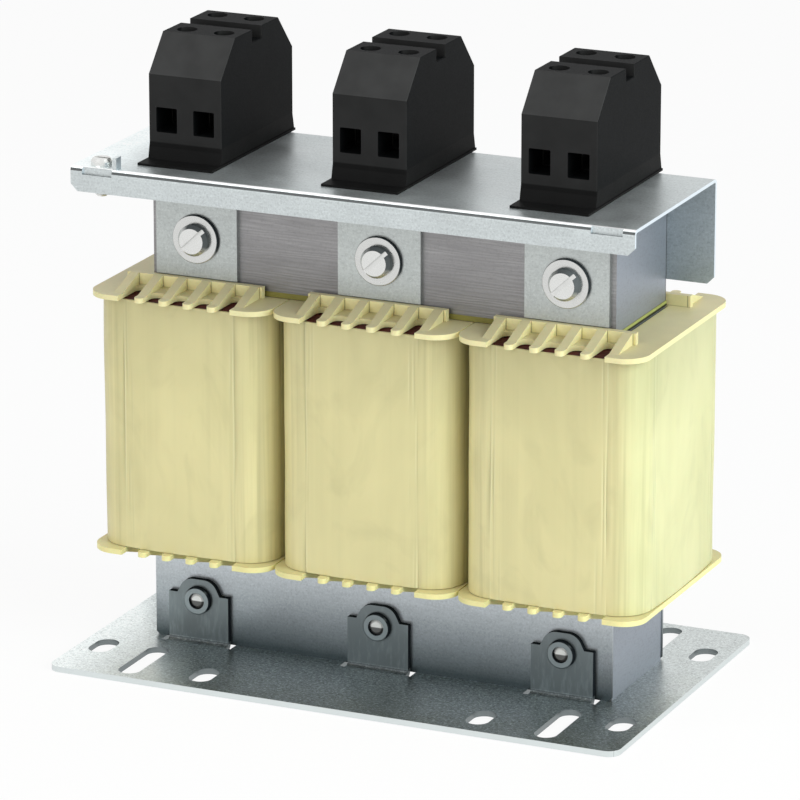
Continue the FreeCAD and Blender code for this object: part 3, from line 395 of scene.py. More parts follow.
def moulded_cream(name, color):
    """Moulded plastic of the coil formers, slightly see-through at thin edges, with painted light on its
    upright faces and lower flange and painted shade lines in its inner corners.
    """
    recipe = Recipe(name)
    cloud = recipe.noise(recipe.space, 120.0, 3.0, 0.55)
    fine = recipe.noise(recipe.space, 1500.0, 2.0, 0.6)
    tone = recipe.blend(recipe.span(cloud, 0.35, 0.7, 0.0, 0.5), rgba(color), shade(color, 0.84))
    tone = recipe.blend(recipe.span(fine, 0.5, 0.8, 0.0, 0.2), tone, shade(color, 0.75))
    # Painted light: upright faces are made lighter than level ones.
    flat = recipe.span(recipe.facing("Z"), 0.3, 0.7)
    tone = recipe.blend(flat, recipe.tint(tone, (1.22, 1.25, 1.18)), tone)
    # Painted light on the lower flange.
    lower = recipe.fade(recipe.axis("Z"), *LOWER_FLANGE)
    tone = recipe.blend(lower, tone, recipe.tint(tone, (1.07, 1.08, 0.94)))
    # Painted shade lines in the inner corners of the formers.
    tone = recipe.blend(corner_shade_lines(recipe), tone, shade(color, 0.3))
    recipe.bump(fine, 0.08, 0.0001)
    return recipe.set(color=tone, rough=0.45, soft=0.1, soft_scale=0.0012, gloss=0.45)


def wound_paper(name, color, stain_color):
    """Pale insulating wrap with soft stains, streaked corners, folded creases with painted shade in them and
    painted highlights beside them, a painted shadow under the top flange, painted light on the right side and
    a slight gloss.
    """
    recipe = Recipe(name)
    slant = recipe.place(stretch=(1, 1, 0.55), turn=(0.0, 0.6, 0.0))
    stains = recipe.noise(slant, 22.0, 3.0, 0.5, 1.2)
    swirls = recipe.noise(recipe.place(stretch=(1, 1, 0.6), turn=(0.0, -0.5, 0.0)), 48.0, 3.0, 0.5, 2.0)
    streaks = recipe.noise(recipe.place(stretch=(1, 1, 0.02)), 300.0, 3.0, 0.6)
    tone = recipe.blend(recipe.span(stains, 0.38, 0.68, 0.0, 0.7), rgba(color), rgba(stain_color))
    tone = recipe.blend(recipe.span(swirls, 0.52, 0.72, 0.0, 0.4), tone, shade(stain_color, 0.9))
    corner = recipe.span(recipe.times(recipe.facing("X"), recipe.facing("Y")), 0.01, 0.2, 0.06, 1.0)
    pale = recipe.times(recipe.span(streaks, 0.52, 0.75, 0.0, 0.7), corner)
    tone = recipe.blend(pale, tone, shade(color, 1.16))
    dull = recipe.times(recipe.span(streaks, 0.48, 0.3, 0.0, 0.8), corner)
    tone = recipe.blend(dull, tone, shade(stain_color, 0.86))
    # Painted shade in the creases and painted highlight on the ridges beside them.
    dark = recipe.add("ShaderNodeAttribute", attribute_name="crease").outputs["Fac"]
    light = recipe.add("ShaderNodeAttribute", attribute_name="ridge").outputs["Fac"]
    tone = recipe.blend(dark, tone, shade(stain_color, 0.6))
    tone = recipe.blend(light, tone, (0.86, 0.83, 0.52, 1.0))
    # Painted shadow under the top flange: darker towards the top.
    height = recipe.span(recipe.axis("Z"), *WRAP_TOP)
    tone = recipe.blend(recipe.times(height, 0.8), tone, recipe.shade(tone, 0.76))
    # Painted light on the faces that face right, towards the key lamp.
    right = recipe.span(recipe.axis("X"), *WRAP_RIGHT)
    lit = recipe.times(recipe.span(recipe.normal("X"), 0.2, 0.7), right)
    tone = recipe.blend(lit, tone, recipe.tint(tone, (0.96, 1.03, 1.06)))
    recipe.bump(recipe.math("ADD", streaks, recipe.times(stains, 0.5)), 0.2, 0.0003)
    roughness = recipe.span(stains, 0.35, 0.7, 0.36, 0.5)
    return recipe.set(color=tone, rough=roughness, soft=0.06, soft_scale=0.001, gloss=0.4)


def black_moulding(name, color):
    """Matte black moulding with a fine eroded grain; painted light makes its fronts lighter than its dark
    bluish sides and top, its slants lightest, and painted shade darkens its foot.
    """
    recipe = Recipe(name)
    grain = recipe.noise(recipe.space, 2300.0, 3.0, 0.65)
    cloud = recipe.noise(recipe.space, 140.0, 2.0, 0.5)
    # Painted light and shade by facing: fronts lighter, slants lightest, sides and top dark and bluish.
    fronts = recipe.span(recipe.facing("Y"), 0.3, 0.6)
    slants = recipe.times(fronts, recipe.band(recipe.normal("Z"), 0.2, 0.4, 0.9, 0.95))
    side_color = (color[0] * 0.27, color[1] * 0.31, color[2] * 0.34, 1.0)
    face_painted_tone = recipe.blend(fronts, side_color, shade(color, 1.42))
    face_painted_tone = recipe.blend(slants, face_painted_tone, shade(color, 3.0))
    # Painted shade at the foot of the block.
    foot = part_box("cover_plate")[1].z + 2.2 * MM
    low_part = recipe.fade(recipe.axis("Z"), foot - 0.2 * MM, foot + 0.2 * MM)
    face_painted_tone = recipe.blend(low_part, face_painted_tone, shade(color, 0.6))
    gloss = recipe.span(recipe.math("SUBTRACT", fronts, low_part), 0.0, 1.0, 0.045, 0.09)
    tone = recipe.blend(recipe.span(cloud, 0.35, 0.7, 0.0, 0.6), face_painted_tone, recipe.shade(face_painted_tone, 1.4))
    recipe.bump(grain, 0.14, 0.00012)
    return recipe.set(color=tone, rough=recipe.span(grain, 0.3, 0.8, 0.5, 0.62), gloss=gloss)


def bright_zinc(name, color, rough=0.24, rim_shade_color=None):
    """Turned and plated fasteners; the rims that face up and outwards may get a dark, matte painted shade."""
    recipe = Recipe(name)
    cloud = recipe.noise(recipe.space, 260.0, 3.0, 0.5)
    scratches = recipe.noise(recipe.place(stretch=(1, 0.1, 1)), 1500.0, 2.0, 0.5)
    tone = recipe.blend(recipe.span(cloud, 0.4, 0.75, 0.0, 0.3), rgba(color), shade(color, 0.88))
    recipe.bump(scratches, 0.05, 0.0001)
    roughness = recipe.span(cloud, 0.3, 0.7, rough - 0.05, rough + 0.06)
    if not rim_shade_color:
        return recipe.set(color=tone, metal=0.9, rough=roughness)
    # Painted shade: rims that face up and outwards go dark and matte.
    out = recipe.math("ADD", recipe.normal("Z"), recipe.normal("X"))
    rim = recipe.times(recipe.fade(recipe.facing("Y"), 0.85, 0.95), recipe.span(out, -0.1, 0.5))
    return recipe.painted_shade_matte(rim, color=recipe.blend(rim, tone, rgba(rim_shade_color)), rough=roughness)


def half_shaded_pin(name, color, level):
    """The lower screws, whose ends are bright above their middle and grey below it by painted shade."""
    recipe = Recipe(name)
    cloud = recipe.noise(recipe.space, 400.0, 3.0, 0.5)
    tone = recipe.blend(recipe.span(cloud, 0.4, 0.75, 0.0, 0.3), rgba(color), shade(color, 0.88))
    # Painted shade on the lower half of each screw end.
    below = recipe.fade(recipe.axis("Z"), level - 0.15 * MM, level + 0.15 * MM)
    tone = recipe.blend(below, tone, shade(color, 0.14))
    return recipe.set(color=tone, metal=0.2, rough=0.4)


def pressed_board(name, color):
    """Olive insulating sheet between the legs and the upper yoke, with lighter ends and a painted shadow
    along the foot of its ends.
    """
    recipe = Recipe(name)
    fibres = recipe.noise(recipe.place(stretch=(0.3, 0.3, 1)), 900.0, 4.0, 0.6)
    tone = recipe.blend(recipe.span(fibres, 0.4, 0.7, 0.0, 0.6), rgba(color), shade(color, 0.7))
    end_face = recipe.span(recipe.facing("X"), 0.4, 0.6)
    # Painted shadow: the end faces are black below the gap line and lighter above it.
    upper = recipe.span(recipe.axis("Z"), *GAP_LINE)
    end = recipe.blend(upper, shade(color, 0.06), recipe.tint(tone, (2.1, 2.3, 3.0)))
    tone = recipe.blend(end_face, recipe.tint(tone, (1.3, 1.18, 1.08)), end)
    recipe.bump(fibres, 0.1, 0.0001)
    return recipe.set(color=tone, rough=0.55, gloss=0.4)


def enamelled_wire(name, color):
    """Dark enamel of the winding wire."""
    recipe = Recipe(name)
    cloud = recipe.noise(recipe.space, 300.0, 2.0, 0.5)
    tone = recipe.blend(recipe.span(cloud, 0.35, 0.7), rgba(color), shade(color, 1.8))
    recipe.bump(cloud, 0.05, 0.0001)
    return recipe.set(color=tone, metal=0.1, rough=0.4, gloss=0.2, coat=0.05, coat_rough=0.3)


FINISHES = {}


def finish_for(key):
    """Make each finish once, from the colours in the scene's settings."""
    looks = bpy.context.scene.reactor_looks
    pin_level = middle("lower_screw_mid").z
    makers = {
        "sheet": lambda: galvanised("strap_sheet", looks.sheet_color),
        "cover": lambda: folded_cover("cover_sheet", looks.cover_color),
        "plate": lambda: plate_with_painted_shade("plate_sheet", looks.plate_color, looks.plate_dark_color),
        "side": lambda: shaded_sheet("side_sheet", looks.side_color, looks.side_dark_color),
        "core": lambda: stacked_sheets("core_sheets", looks.core_color, looks.core_end_color),
        "board": lambda: pressed_board("gap_board", looks.board_color),
        "former": lambda: moulded_cream("former_plastic", looks.former_color),
        "wrap": lambda: wound_paper("coil_wrap", looks.wrap_color, looks.wrap_stain_color),
        "wire": lambda: enamelled_wire("winding_wire", looks.wire_color),
        # The screws' and washers' rims take these painted shade colours.
        "screw": lambda: bright_zinc("plated_screw", looks.screw_color, rim_shade_color=(0.11, 0.12, 0.125)),
        "washer": lambda: bright_zinc(
            "plated_washer", shade(looks.screw_color, 0.9), rim_shade_color=(0.03, 0.036, 0.04)),
        "earth": lambda: bright_zinc("plated_earth_screw", looks.screw_color),
        "pin": lambda: half_shaded_pin("plated_pin", looks.screw_color, pin_level),
        "clamp": lambda: bright_zinc("clamp_metal", looks.clamp_color, 0.4),
        "terminal": lambda: black_moulding("terminal_plastic", looks.terminal_color),
    }
    if key not in FINISHES:
        FINISHES[key] = makers[key]()
    return FINISHES[key]


def dress(node, key):
    """Give a solid of the frame its finish."""
    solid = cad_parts[node]
    solid.data.materials.clear()
    solid.data.materials.append(finish_for(key))
    return solid


# Mesh helpers


def add_object(name, data):
    """A new object in the scene."""
    made = bpy.data.objects.new(name, data)
    bpy.context.scene.collection.objects.link(made)
    return made


def new_piece(name, mesh, key, slot, *replaced, smooth=True):
    """Put a finished mesh into the scene as a piece of the part."""
    piece = add_object(name, mesh)
    mesh.materials.clear()
    mesh.materials.append(finish_for(key))
    for face in mesh.polygons:
        face.use_smooth = smooth
        face.material_index = 0
    if smooth:
        mesh.set_sharp_from_angle(angle=math.radians(35))
    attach(piece, "root")
    if replaced:
        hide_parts(*replaced)
    return piece


def socket_id(tree, name):
    for item in tree.interface.items_tree:
        if item.item_type == "SOCKET" and item.in_out == "INPUT" and item.name == name:
            return item.identifier
    raise RuntimeError(f"the tree {tree.name} has no input {name}")


def new_geometry_tree(name, inputs):
    """Start a geometry tree with named inputs, and hand back its ends."""
    tree = bpy.data.node_groups.new(name, "GeometryNodeTree")
    tree.interface.new_socket(name="Geometry", in_out="INPUT", socket_type="NodeSocketGeometry")
    for title, kind, value in inputs:
        socket = tree.interface.new_socket(name=title, in_out="INPUT", socket_type=f"NodeSocket{kind}")
        if value is not None:
            socket.default_value = value
    tree.interface.new_socket(name="Geometry", in_out="OUTPUT", socket_type="NodeSocketGeometry")
    return tree, tree.nodes.new("NodeGroupInput"), tree.nodes.new("NodeGroupOutput")


def tube_along(tree, curve, size, share, sides, capped=False):
    """A tube along a curve, with a share of the size as its radius."""
    radius = add_node(tree, "ShaderNodeMath", {0: size, 1: share}, operation="MULTIPLY")
    profile = add_node(tree, "GeometryNodeCurvePrimitiveCircle", {
        "Resolution": sides, "Radius": radius.outputs[0]})
    return add_node(tree, "GeometryNodeCurveToMesh", {
        "Curve": curve, "Profile Curve": profile.outputs["Curve"], "Fill Caps": capped,
    }).outputs["Mesh"]


def grow(tree, values):
    """Evaluate a tree once with the given inputs and hand back the plain mesh."""
    carrier = add_object("carrier", bpy.data.meshes.new("carrier"))
    modifier = carrier.modifiers.new("grow", "NODES")
    modifier.node_group = tree
    for name, value in values.items():
        modifier[socket_id(tree, name)] = value
    bpy.context.view_layer.update()
    evaluated = carrier.evaluated_get(bpy.context.evaluated_depsgraph_get())
    mesh = bpy.data.meshes.new_from_object(evaluated)
    bpy.data.objects.remove(carrier)
    return mesh


def wire_turns_tree():
    """Turns of round wire stacked over each other round a rounded rectangle."""
    tree, start, end = new_geometry_tree("wire_turns", (
        ("Width", "Float", 0.05),
        ("Depth", "Float", 0.06),
        ("Corner", "Float", 0.008),
        ("Wire", "Float", 0.0016),
        ("Turns", "Int", 10),
        ("Level", "Float", 0.0),
        ("Finish", "Material", None),
    ))
    values = start.outputs
    outline = add_node(tree, "GeometryNodeCurvePrimitiveQuadrilateral", {
        "Width": values["Width"], "Height": values["Depth"]})
    fillet = add_node(tree, "GeometryNodeFilletCurve", {
        "Curve": outline.outputs["Curve"], "Radius": values["Corner"], "Count": 6}, mode="POLY")
    step = add_node(tree, "ShaderNodeCombineXYZ", {"Z": values["Wire"]})
    first = add_node(tree, "ShaderNodeCombineXYZ", {"Z": values["Level"]})
    row = add_node(tree, "GeometryNodeMeshLine", {
        "Count": values["Turns"], "Start Location": first.outputs[0], "Offset": step.outputs[0]})
    copies = add_node(tree, "GeometryNodeInstanceOnPoints", {
        "Points": row.outputs["Mesh"],
        "Instance": tube_along(tree, fillet.outputs["Curve"], values["Wire"], 0.49, 8),
    })
    return close_tree(tree, start, end, copies.outputs["Instances"])


def thread_tree():
    """A screw thread as a small ridge that climbs round the shank."""
    tree, start, end = new_geometry_tree("screw_thread", (
        ("Radius", "Float", 0.002),
        ("Pitch", "Float", 0.0007),
        ("Turns", "Float", 8.0),
        ("Finish", "Material", None),
    ))
    values = start.outputs
    rise = add_node(tree, "ShaderNodeMath", {0: values["Pitch"], 1: values["Turns"]}, operation="MULTIPLY")
    spiral = add_node(tree, "GeometryNodeCurveSpiral", {
        "Resolution": 20, "Rotations": values["Turns"], "Height": rise.outputs[0],
        "Start Radius": values["Radius"], "End Radius": values["Radius"],
    })
    tube = tube_along(tree, spiral.outputs["Curve"], values["Pitch"], 0.42, 4, capped=True)
    return close_tree(tree, start, end, tube)


def close_tree(tree, start, end, result):
    """Every tree ends in plain geometry with its finish set."""
    real = add_node(tree, "GeometryNodeRealizeInstances", {"Geometry": result})
    paint = add_node(tree, "GeometryNodeSetMaterial", {
        "Geometry": real.outputs["Geometry"], "Material": start.outputs["Finish"]})
    feed(tree, end.inputs["Geometry"], paint.outputs["Geometry"])
    return tree


def join_meshes(name, parts):
    """Join (mesh, matrix) pairs into one mesh and drop the parts."""
    joined = bmesh.new()
    for mesh, matrix in parts:
        mesh.transform(matrix)
        joined.from_mesh(mesh)
        bpy.data.meshes.remove(mesh)
    result = bpy.data.meshes.new(name)
    joined.to_mesh(result)
    joined.free()
    return result


# Settings


def color_setting(name, description, default):
    return FloatVectorProperty(
        name=name, description=description, subtype="COLOR", default=default, min=0.0, max=1.0)


def length_setting(name, description, default):
    return FloatProperty(name=name, description=description, subtype="DISTANCE", default=default)


def angle_setting(name, description, default):
    return FloatProperty(name=name, description=description, subtype="ANGLE", default=default)


def power_setting(name, description, default):
    return FloatProperty(name=name, description=description, subtype="POWER", default=default)


class ReactorLooks(bpy.types.PropertyGroup):
    """Colours of the finishes."""

    sheet_color: color_setting("Sheet", "Galvanised straps", (0.47, 0.5, 0.49))
    cover_color: color_setting("Cover", "Galvanised cover", (0.545, 0.585, 0.59))
    plate_color: color_setting("Plate", "Ends of the base plate", (0.585, 0.625, 0.62))
    # Painted shade colour of the base plate in front of the core and on its tabs.
    plate_dark_color: color_setting("Plate by the core", "Base plate beside the core", (0.135, 0.155, 0.16))
    side_color: color_setting("Side sheets", "Upper part of the lower yoke's sheets", (0.56, 0.6, 0.63))
    # Painted shade colour at the foot of the side sheets.
    side_dark_color: color_setting("Side sheets, low", "Lower part of those sheets", (0.048, 0.06, 0.064))
    core_color: color_setting("Core front", "Front faces of the stacked core", (0.3, 0.295, 0.3))
    core_end_color: color_setting("Core ends", "End faces of the stacked core", (0.34, 0.37, 0.425))
    board_color: color_setting("Gap board", "Insulating sheet in the air gap", (0.165, 0.165, 0.037))
    former_color: color_setting("Former", "Moulded coil formers", (0.645, 0.575, 0.33))
    wrap_color: color_setting("Wrap", "Outer wrap of the coils", (0.70, 0.635, 0.335))
    wrap_stain_color: color_setting("Wrap stains", "Darker patches of the wrap", (0.585, 0.535, 0.275))
    wire_color: color_setting("Wire", "Enamel of the winding wire", (0.05, 0.008, 0.007))
    screw_color: color_setting("Screws", "Plated screws and washers", (0.74, 0.745, 0.73))
    clamp_color: color_setting("Clamps", "Metal inside the terminal blocks", (0.05, 0.048, 0.045))
    terminal_color: color_setting("Terminals", "Terminal block housings", (0.011, 0.011, 0.011))


class ReactorSizes(bpy.types.PropertyGroup):
    """Sizes of the pieces that are built here."""

    wire_wide: length_setting("Wire", "Diameter of the winding wire", 0.0017)
    wire_layers: IntProperty(name="Layers", description="Layers of wire in a coil", default=6, min=1)
    wrap_bulge: length_setting("Wrap bulge", "How far the wrap's long sides swell", 0.0006)
    wrap_crease: length_setting("Wrap creases", "Depth of the creases beside the corners", 0.00018)
    thread_pitch: length_setting("Thread pitch", "Rise of one thread turn of the earth screw", 0.0007)


class ReactorStage(bpy.types.PropertyGroup):
    """Camera, lamps and floor."""

    azimuth: angle_setting("Azimuth", "Camera angle round the part", math.radians(24.14))
    elevation: angle_setting("Elevation", "Camera angle above the floor", math.radians(16.93))
    lens: FloatProperty(name="Lens", description="Focal length in millimetres", default=255.05)
    distance: length_setting("Distance", "Camera to target", 1.7071)
    target: FloatVectorProperty(name="Target", description="Point in the middle of the picture",
                                default=(-0.0027, 0.0039, 0.0800), subtype="XYZ")
    world_light: FloatProperty(name="World light", description="Strength of the even light", default=0.55)
    key_light: power_setting("Key light", "Power of the lamp at the right", 12.0)
    fill_light: power_setting("Fill light", "Power of the lamp in front", 5.0)
    top_light: power_setting("Top light", "Power of the lamp overhead", 1.2)


# Operators


class REACTOR_OT_base(bpy.types.Operator):
    """Dress the base plate with its tabs and the sheets beside the lower yoke"""

    bl_idname = "reactor.base"
    bl_label = "Base plate"

    def execute(self, context):
        dress("base_plate", "plate")
        dress("side_sheet_front", "side")
        dress("side_sheet_rear", "side")
        return {"FINISHED"}


class REACTOR_OT_core(bpy.types.Operator):
    """Dress the stacked core, the upper yoke and the sheet in the air gap"""

    bl_idname = "reactor.core"
    bl_label = "Core"

    def execute(self, context):
        dress("core_stack", "core")
        dress("upper_yoke", "core")
        dress("gap_sheet", "board")
        return {"FINISHED"}


class REACTOR_OT_windings(bpy.types.Operator):
    """Build the turns of wire that show through the slots of the formers"""

    bl_idname = "reactor.windings"
    bl_label = "Windings"

    corner = 0.0095
    least_corner = 0.0025

    def execute(self, context):
        sizes = context.scene.reactor_sizes
        wire = sizes.wire_wide
        tree = wire_turns_tree()
        for phase in PHASES:
            node = f"winding_{phase}"
            low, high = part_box(node)
            centre = (low + high) / 2
            wide, deep = high.x - low.x, high.y - low.y
            turns = int((high.z - low.z) / wire)
            edge = (turns - 1) * wire / 2
            layers = []
            for layer in range(sizes.wire_layers):
                inset = wire * (2 * layer + 1)
                rows = [(2, -edge), (2, edge - wire)] if layer else [(turns, -edge)]
                for count, level in rows:
                    mesh = grow(tree, {
                        "Width": wide - inset, "Depth": deep - inset,
                        "Corner": max(self.corner - wire * layer, self.least_corner),
                        "Wire": wire, "Turns": count, "Level": level, "Finish": finish_for("wire"),
                    })
                    layers.append((mesh, Matrix.Translation(centre)))
            new_piece(f"wire_{phase}", join_meshes(f"wire_{phase}", layers), "wire", "winding_wire", node)
        return {"FINISHED"}


class REACTOR_OT_wraps(bpy.types.Operator):
    """Build the creased and slightly swollen wraps of the coils"""

    bl_idname = "reactor.wraps"
    bl_label = "Wraps"

    rows = 40
    side_steps = 45
    corner_steps = 12
    corner = 10.3 * MM
    thick = 0.75 * MM
    folds = (0.2 * MM, 1.4 * MM, 3.0 * MM)
    fold_wide = 0.2 * MM
    # Strength of the painted shade in the creases and of the painted highlight on the ridges.
    dark_share = 0.65
    light_share = 0.5

    def execute(self, context):
        sizes = context.scene.reactor_sizes
        for seed, phase in enumerate(PHASES):
            mesh = self.wrap_mesh(sizes, f"wrap_{phase}", seed)
            new_piece(f"wrap_skin_{phase}", mesh, "wrap", "coil_wrap", f"wrap_{phase}")
        return {"FINISHED"}

    def wrap_mesh(self, sizes, node, seed):
        """A tall sleeve round the coil, creased where its flat sides meet the rounded corners."""
        low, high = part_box(node)
        centre = (low + high) / 2
        path = self.path(high - low)
        built = bmesh.new()
        # Vertex shares of painted shade in the creases and painted highlight on the ridges.
        dark = built.verts.layers.float.new("crease")
        light = built.verts.layers.float.new("ridge")
        rings = []
        for inset in (0.0, self.thick):
            for row in range(self.rows + 1):
                rise = row / self.rows
                ring = []
                for point, out, share, fold in path:
                    swell = self.swell(point, share, rise, sizes, seed)
                    depth, crest = self.crease(point, fold, rise, seed)
                    place = centre + point + out * (swell - sizes.wrap_crease * depth - inset)
                    vertex = built.verts.new((place.x, place.y, low.z + (high.z - low.z) * rise))
                    vertex[dark] = depth * self.dark_share
                    vertex[light] = crest * self.light_share
                    ring.append(vertex)
                rings.append(ring)
        outer, inner = rings[:self.rows + 1], rings[self.rows + 1:]
        for first, second in zip(outer, outer[1:]):
            self.close(built, first, second)
        for first, second in zip(inner, inner[1:]):
            self.close(built, second, first)
        self.close(built, outer[-1], inner[-1])
        self.close(built, inner[0], outer[0])
        mesh = bpy.data.meshes.new(node)
        built.to_mesh(mesh)
        built.free()
        return mesh

    def close(self, built, low_ring, high_ring):
        """Fill the band between two rings of the same length."""
        count = len(low_ring)
        for at in range(count):
            after = (at + 1) % count
            built.faces.new((low_ring[at], low_ring[after], high_ring[after], high_ring[at]))

    def path(self, size):
        """Points round the coil with their outward direction, place on the side and fold place."""
        half_wide, half_deep = size.x / 2 - self.corner, size.y / 2 - self.corner
        points = []
        sides = ((half_wide, half_deep, -90), (half_deep, half_wide, 0),
                 (half_wide, half_deep, 90), (half_deep, half_wide, 180))
        for half_long, half_away, turn in sides:
            to_side = Matrix.Rotation(math.radians(turn), 3, "Z")
            out = to_side @ Vector((1, 0, 0))
            away = half_away + self.corner
            for step in range(-self.side_steps, self.side_steps + 1):
                along = half_long * math.sin(math.pi / 2 * step / self.side_steps)
                fold = half_long - abs(along)
                points.append((to_side @ Vector((away, along, 0)), out, abs(along) / half_long, fold))
            for step in range(1, self.corner_steps):
                angle = math.radians(90 * step / self.corner_steps)
                bend = to_side @ Vector((math.cos(angle), math.sin(angle), 0))
                centre = to_side @ Vector((half_away, half_long, 0))
                points.append((centre + bend * self.corner, bend, 1.0, -angle))
        return points

    def swell(self, point, share, rise, sizes, seed):
        """How far the wrap stands off its even shape at a place."""
        wobble = noise.noise(Vector((point.x * 55, point.y * 55 + seed * 7.3, rise * 3.1)))
        return sizes.wrap_bulge * (1 - share ** 2) + 0.0002 * wobble

    def crease(self, point, fold, rise, seed):
        """Depth of the creases, which also sets their painted shade, and strength of the painted highlight on
        the ridges beside them.
        """
        if fold < 0:
            return 0.0, 0.0
        depth, crest = 0.0, 0.0
        for order, away in enumerate(self.folds):
            place = Vector((point.x * 9 + seed * 3.7, point.y * 9 + order * 5.1, rise * 3.1))
            weight = min(1.0, max(0.0, 0.5 - order * 0.24 + 1.1 * noise.noise(place)))
            sway = 0.0006 * noise.noise(Vector((order * 9.1, seed * 2.3 + point.x * 9, rise * 1.6)))
            gap = (fold - away - sway) / self.fold_wide
            ridge_gap = gap - 2.0
            depth = max(depth, weight * math.exp(-gap ** 2))
            crest = max(crest, weight * math.exp(-ridge_gap ** 2))
        return depth, crest


class REACTOR_OT_formers(bpy.types.Operator):
    """Dress the moulded coil formers"""

    bl_idname = "reactor.formers"
    bl_label = "Formers"

    def execute(self, context):
        for phase in PHASES:
            dress(f"former_{phase}", "former")
        return {"FINISHED"}


class REACTOR_OT_cover(bpy.types.Operator):
    """Dress the folded cover and the straps that hold it"""

    bl_idname = "reactor.cover"
    bl_label = "Cover"

    def execute(self, context):
        dress("cover_plate", "cover")
        for phase in PHASES:
            dress(f"strap_{phase}", "sheet")
        return {"FINISHED"}


class REACTOR_OT_terminals(bpy.types.Operator):
    """Dress the terminal blocks, their clamps and their screws"""

    bl_idname = "reactor.terminals"
    bl_label = "Terminal blocks"

    def execute(self, context):
        for phase in PHASES:
            dress(f"terminal_housing_{phase}", "terminal")
            dress(f"terminal_clamps_{phase}", "clamp")
            dress(f"terminal_screws_{phase}", "clamp")
        return {"FINISHED"}


class REACTOR_OT_fasteners(bpy.types.Operator):
    """Dress the clamp screws and washers, and cut a thread on the earth screw"""

    bl_idname = "reactor.fasteners"
    bl_label = "Fasteners"

    def execute(self, context):
        for phase in PHASES:
            dress(f"upper_screw_{phase}", "screw")
            dress(f"upper_washer_{phase}", "washer")
            dress(f"lower_washer_{phase}", "washer")
            dress(f"lower_screw_{phase}", "pin")
        dress("earth_screw", "earth")
        dress("earth_nut", "earth")
        pitch = context.scene.reactor_sizes.thread_pitch
        screw_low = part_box("earth_screw")[0]
        nut_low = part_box("earth_nut")[0]
        turns = (nut_low.z - screw_low.z) / pitch - 1.2
        mesh = grow(thread_tree(), {
            "Radius": 0.00185, "Pitch": pitch, "Turns": turns, "Finish": finish_for("earth"),
        })
        foot = middle("earth_screw")
        foot.z = screw_low.z + pitch * 0.8
        mesh.transform(Matrix.Translation(foot))
        new_piece("earth_thread", mesh, "earth", "zinc_plated_steel", smooth=False)
        return {"FINISHED"}


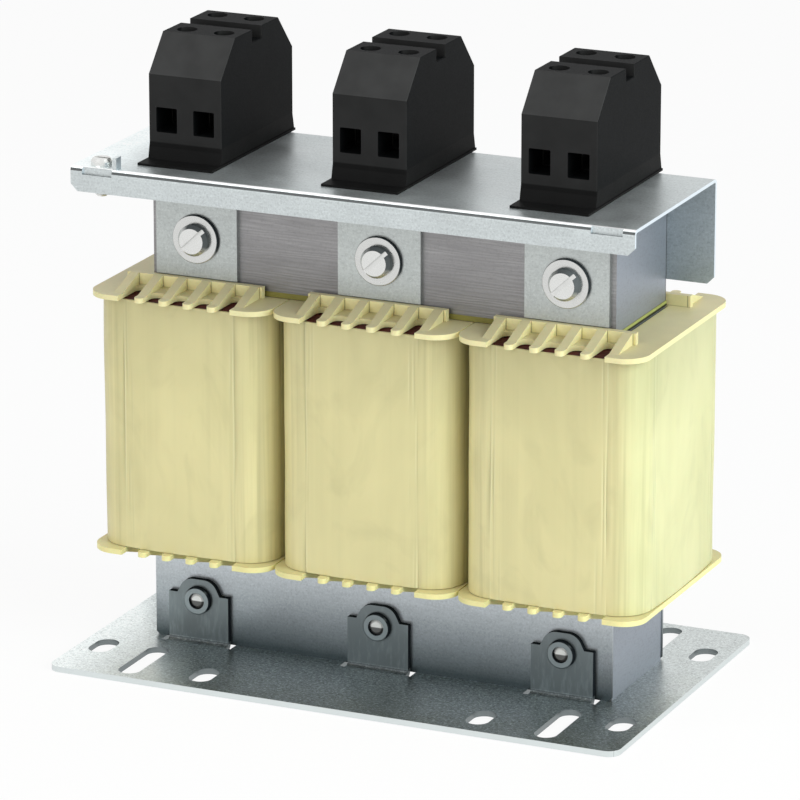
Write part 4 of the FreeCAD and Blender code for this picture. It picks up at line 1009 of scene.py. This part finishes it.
class REACTOR_OT_stage(bpy.types.Operator):
    """Set the camera, the soft lamps, the pale floor and the even world light"""

    bl_idname = "reactor.stage"
    bl_label = "Stage"

    lamps = (
        ("key", (1.1, -0.25, 0.6), 0.9, (0.92, 1.0, 0.98)),
        ("fill", (-0.35, -1.3, 0.6), 0.8, (1.0, 1.0, 1.0)),
        ("top", (-0.47, -0.35, 1.12), 0.3, (1.0, 1.0, 1.0)),
    )
    floor_drop = 0.2 * MM
    floor_seen = 0.9

    def execute(self, context):
        settings = context.scene.reactor_stage
        self.camera(context, settings)
        self.world(context, settings)
        self.floor()
        for name, place, wide, color in self.lamps:
            self.lamp(settings, name, place, wide, color)
        context.scene.view_settings.view_transform = "Standard"
        return {"FINISHED"}

    def camera(self, context, settings):
        data = bpy.data.cameras.new("camera")
        data.lens, data.sensor_width = settings.lens, 36.0
        data.clip_start, data.clip_end = 0.05, 50.0
        camera = add_object("camera", data)
        a, e = settings.azimuth, settings.elevation
        back = Vector((math.sin(a) * math.cos(e), -math.cos(a) * math.cos(e), math.sin(e)))
        camera.location = Vector(settings.target) + back * settings.distance
        camera.rotation_mode = "QUATERNION"
        camera.rotation_quaternion = (-back).to_track_quat("-Z", "Y")
        context.scene.camera = camera

    def world(self, context, settings):
        world = bpy.data.worlds.new("studio")
        world.use_nodes = True
        tree = world.node_tree
        tree.nodes.clear()
        even = add_node(tree, "ShaderNodeBackground", {"Color": WHITE, "Strength": settings.world_light})
        shown = add_node(tree, "ShaderNodeBackground", {"Color": WHITE, "Strength": 1.0})
        pick = add_node(tree, "ShaderNodeMixShader", {
            0: self.seen(tree), 1: even.outputs[0], 2: shown.outputs[0]})
        add_node(tree, "ShaderNodeOutputWorld", {"Surface": pick.outputs[0]})
        context.scene.world = world

    def seen(self, tree):
        """One for rays from the camera, from metal and through clear pieces."""
        rays = add_node(tree, "ShaderNodeLightPath").outputs
        total = rays["Is Camera Ray"]
        for kind in ("Is Glossy Ray", "Is Transmission Ray"):
            either = add_node(tree, "ShaderNodeMath", {0: total, 1: rays[kind]}, operation="MAXIMUM")
            total = either.outputs[0]
        return total

    def floor(self):
        built = bmesh.new()
        bmesh.ops.create_grid(built, x_segments=2, y_segments=2, size=8.0)
        mesh = bpy.data.meshes.new("floor")
        built.to_mesh(mesh)
        built.free()
        mesh.transform(Matrix.Translation((0, 0, -self.floor_drop)))
        floor = add_object("floor", mesh)
        recipe = Recipe("floor_paper")
        grain = recipe.noise(recipe.space, 300.0, 2.0, 0.5)
        spots = recipe.span(grain, 0.4, 0.6, 0.0, 0.02)
        recipe.set(color=recipe.blend(spots, (0.9, 0.9, 0.9, 1), (0.8, 0.8, 0.8, 1)), rough=0.9, gloss=0.1)
        lit = recipe.add("ShaderNodeEmission", {"Color": WHITE})
        seen = recipe.times(self.seen(recipe.tree), self.floor_seen)
        pick = recipe.add("ShaderNodeMixShader", {0: seen, 1: recipe.shader.outputs[0], 2: lit.outputs[0]})
        feed(recipe.tree, recipe.output.inputs["Surface"], pick.outputs[0])
        mesh.materials.append(recipe.material)

    def lamp(self, settings, name, place, wide, color):
        """A round soft lamp that looks at the camera's target."""
        data = bpy.data.lights.new(f"{name}_lamp", "AREA")
        data.shape, data.size, data.color = "DISK", wide, color
        data.energy = getattr(settings, f"{name}_light")
        lamp = add_object(f"{name}_lamp", data)
        lamp.location = place
        aim = Vector(settings.target) - Vector(place)
        lamp.rotation_mode = "QUATERNION"
        lamp.rotation_quaternion = aim.to_track_quat("-Z", "Y")


class REACTOR_PT_panel(bpy.types.Panel):
    """Lists the steps that dress the reactor"""

    bl_label = "Reactor"
    bl_idname = "REACTOR_PT_panel"
    bl_space_type = "VIEW_3D"
    bl_region_type = "UI"
    bl_category = "Reactor"

    def draw(self, context):
        for step in STEPS:
            self.layout.operator(step.bl_idname)
        for group in ("reactor_looks", "reactor_sizes", "reactor_stage"):
            settings = getattr(context.scene, group)
            for name in settings.bl_rna.properties.keys():
                if name not in ("rna_type", "name"):
                    self.layout.prop(settings, name)


STEPS = (
    REACTOR_OT_base,
    REACTOR_OT_core,
    REACTOR_OT_windings,
    REACTOR_OT_wraps,
    REACTOR_OT_formers,
    REACTOR_OT_cover,
    REACTOR_OT_terminals,
    REACTOR_OT_fasteners,
    REACTOR_OT_stage,
)
CLASSES = (ReactorLooks, ReactorSizes, ReactorStage, *STEPS, REACTOR_PT_panel)


def register():
    for made in CLASSES:
        bpy.utils.register_class(made)
    bpy.types.Scene.reactor_looks = PointerProperty(type=ReactorLooks)
    bpy.types.Scene.reactor_sizes = PointerProperty(type=ReactorSizes)
    bpy.types.Scene.reactor_stage = PointerProperty(type=ReactorStage)


def unregister():
    del bpy.types.Scene.reactor_stage
    del bpy.types.Scene.reactor_sizes
    del bpy.types.Scene.reactor_looks
    for made in reversed(CLASSES):
        bpy.utils.unregister_class(made)


def main():
    register()
    for step in STEPS:
        section, name = step.bl_idname.split(".")
        getattr(getattr(bpy.ops, section), name)()


if __name__ == "__main__":
    main()
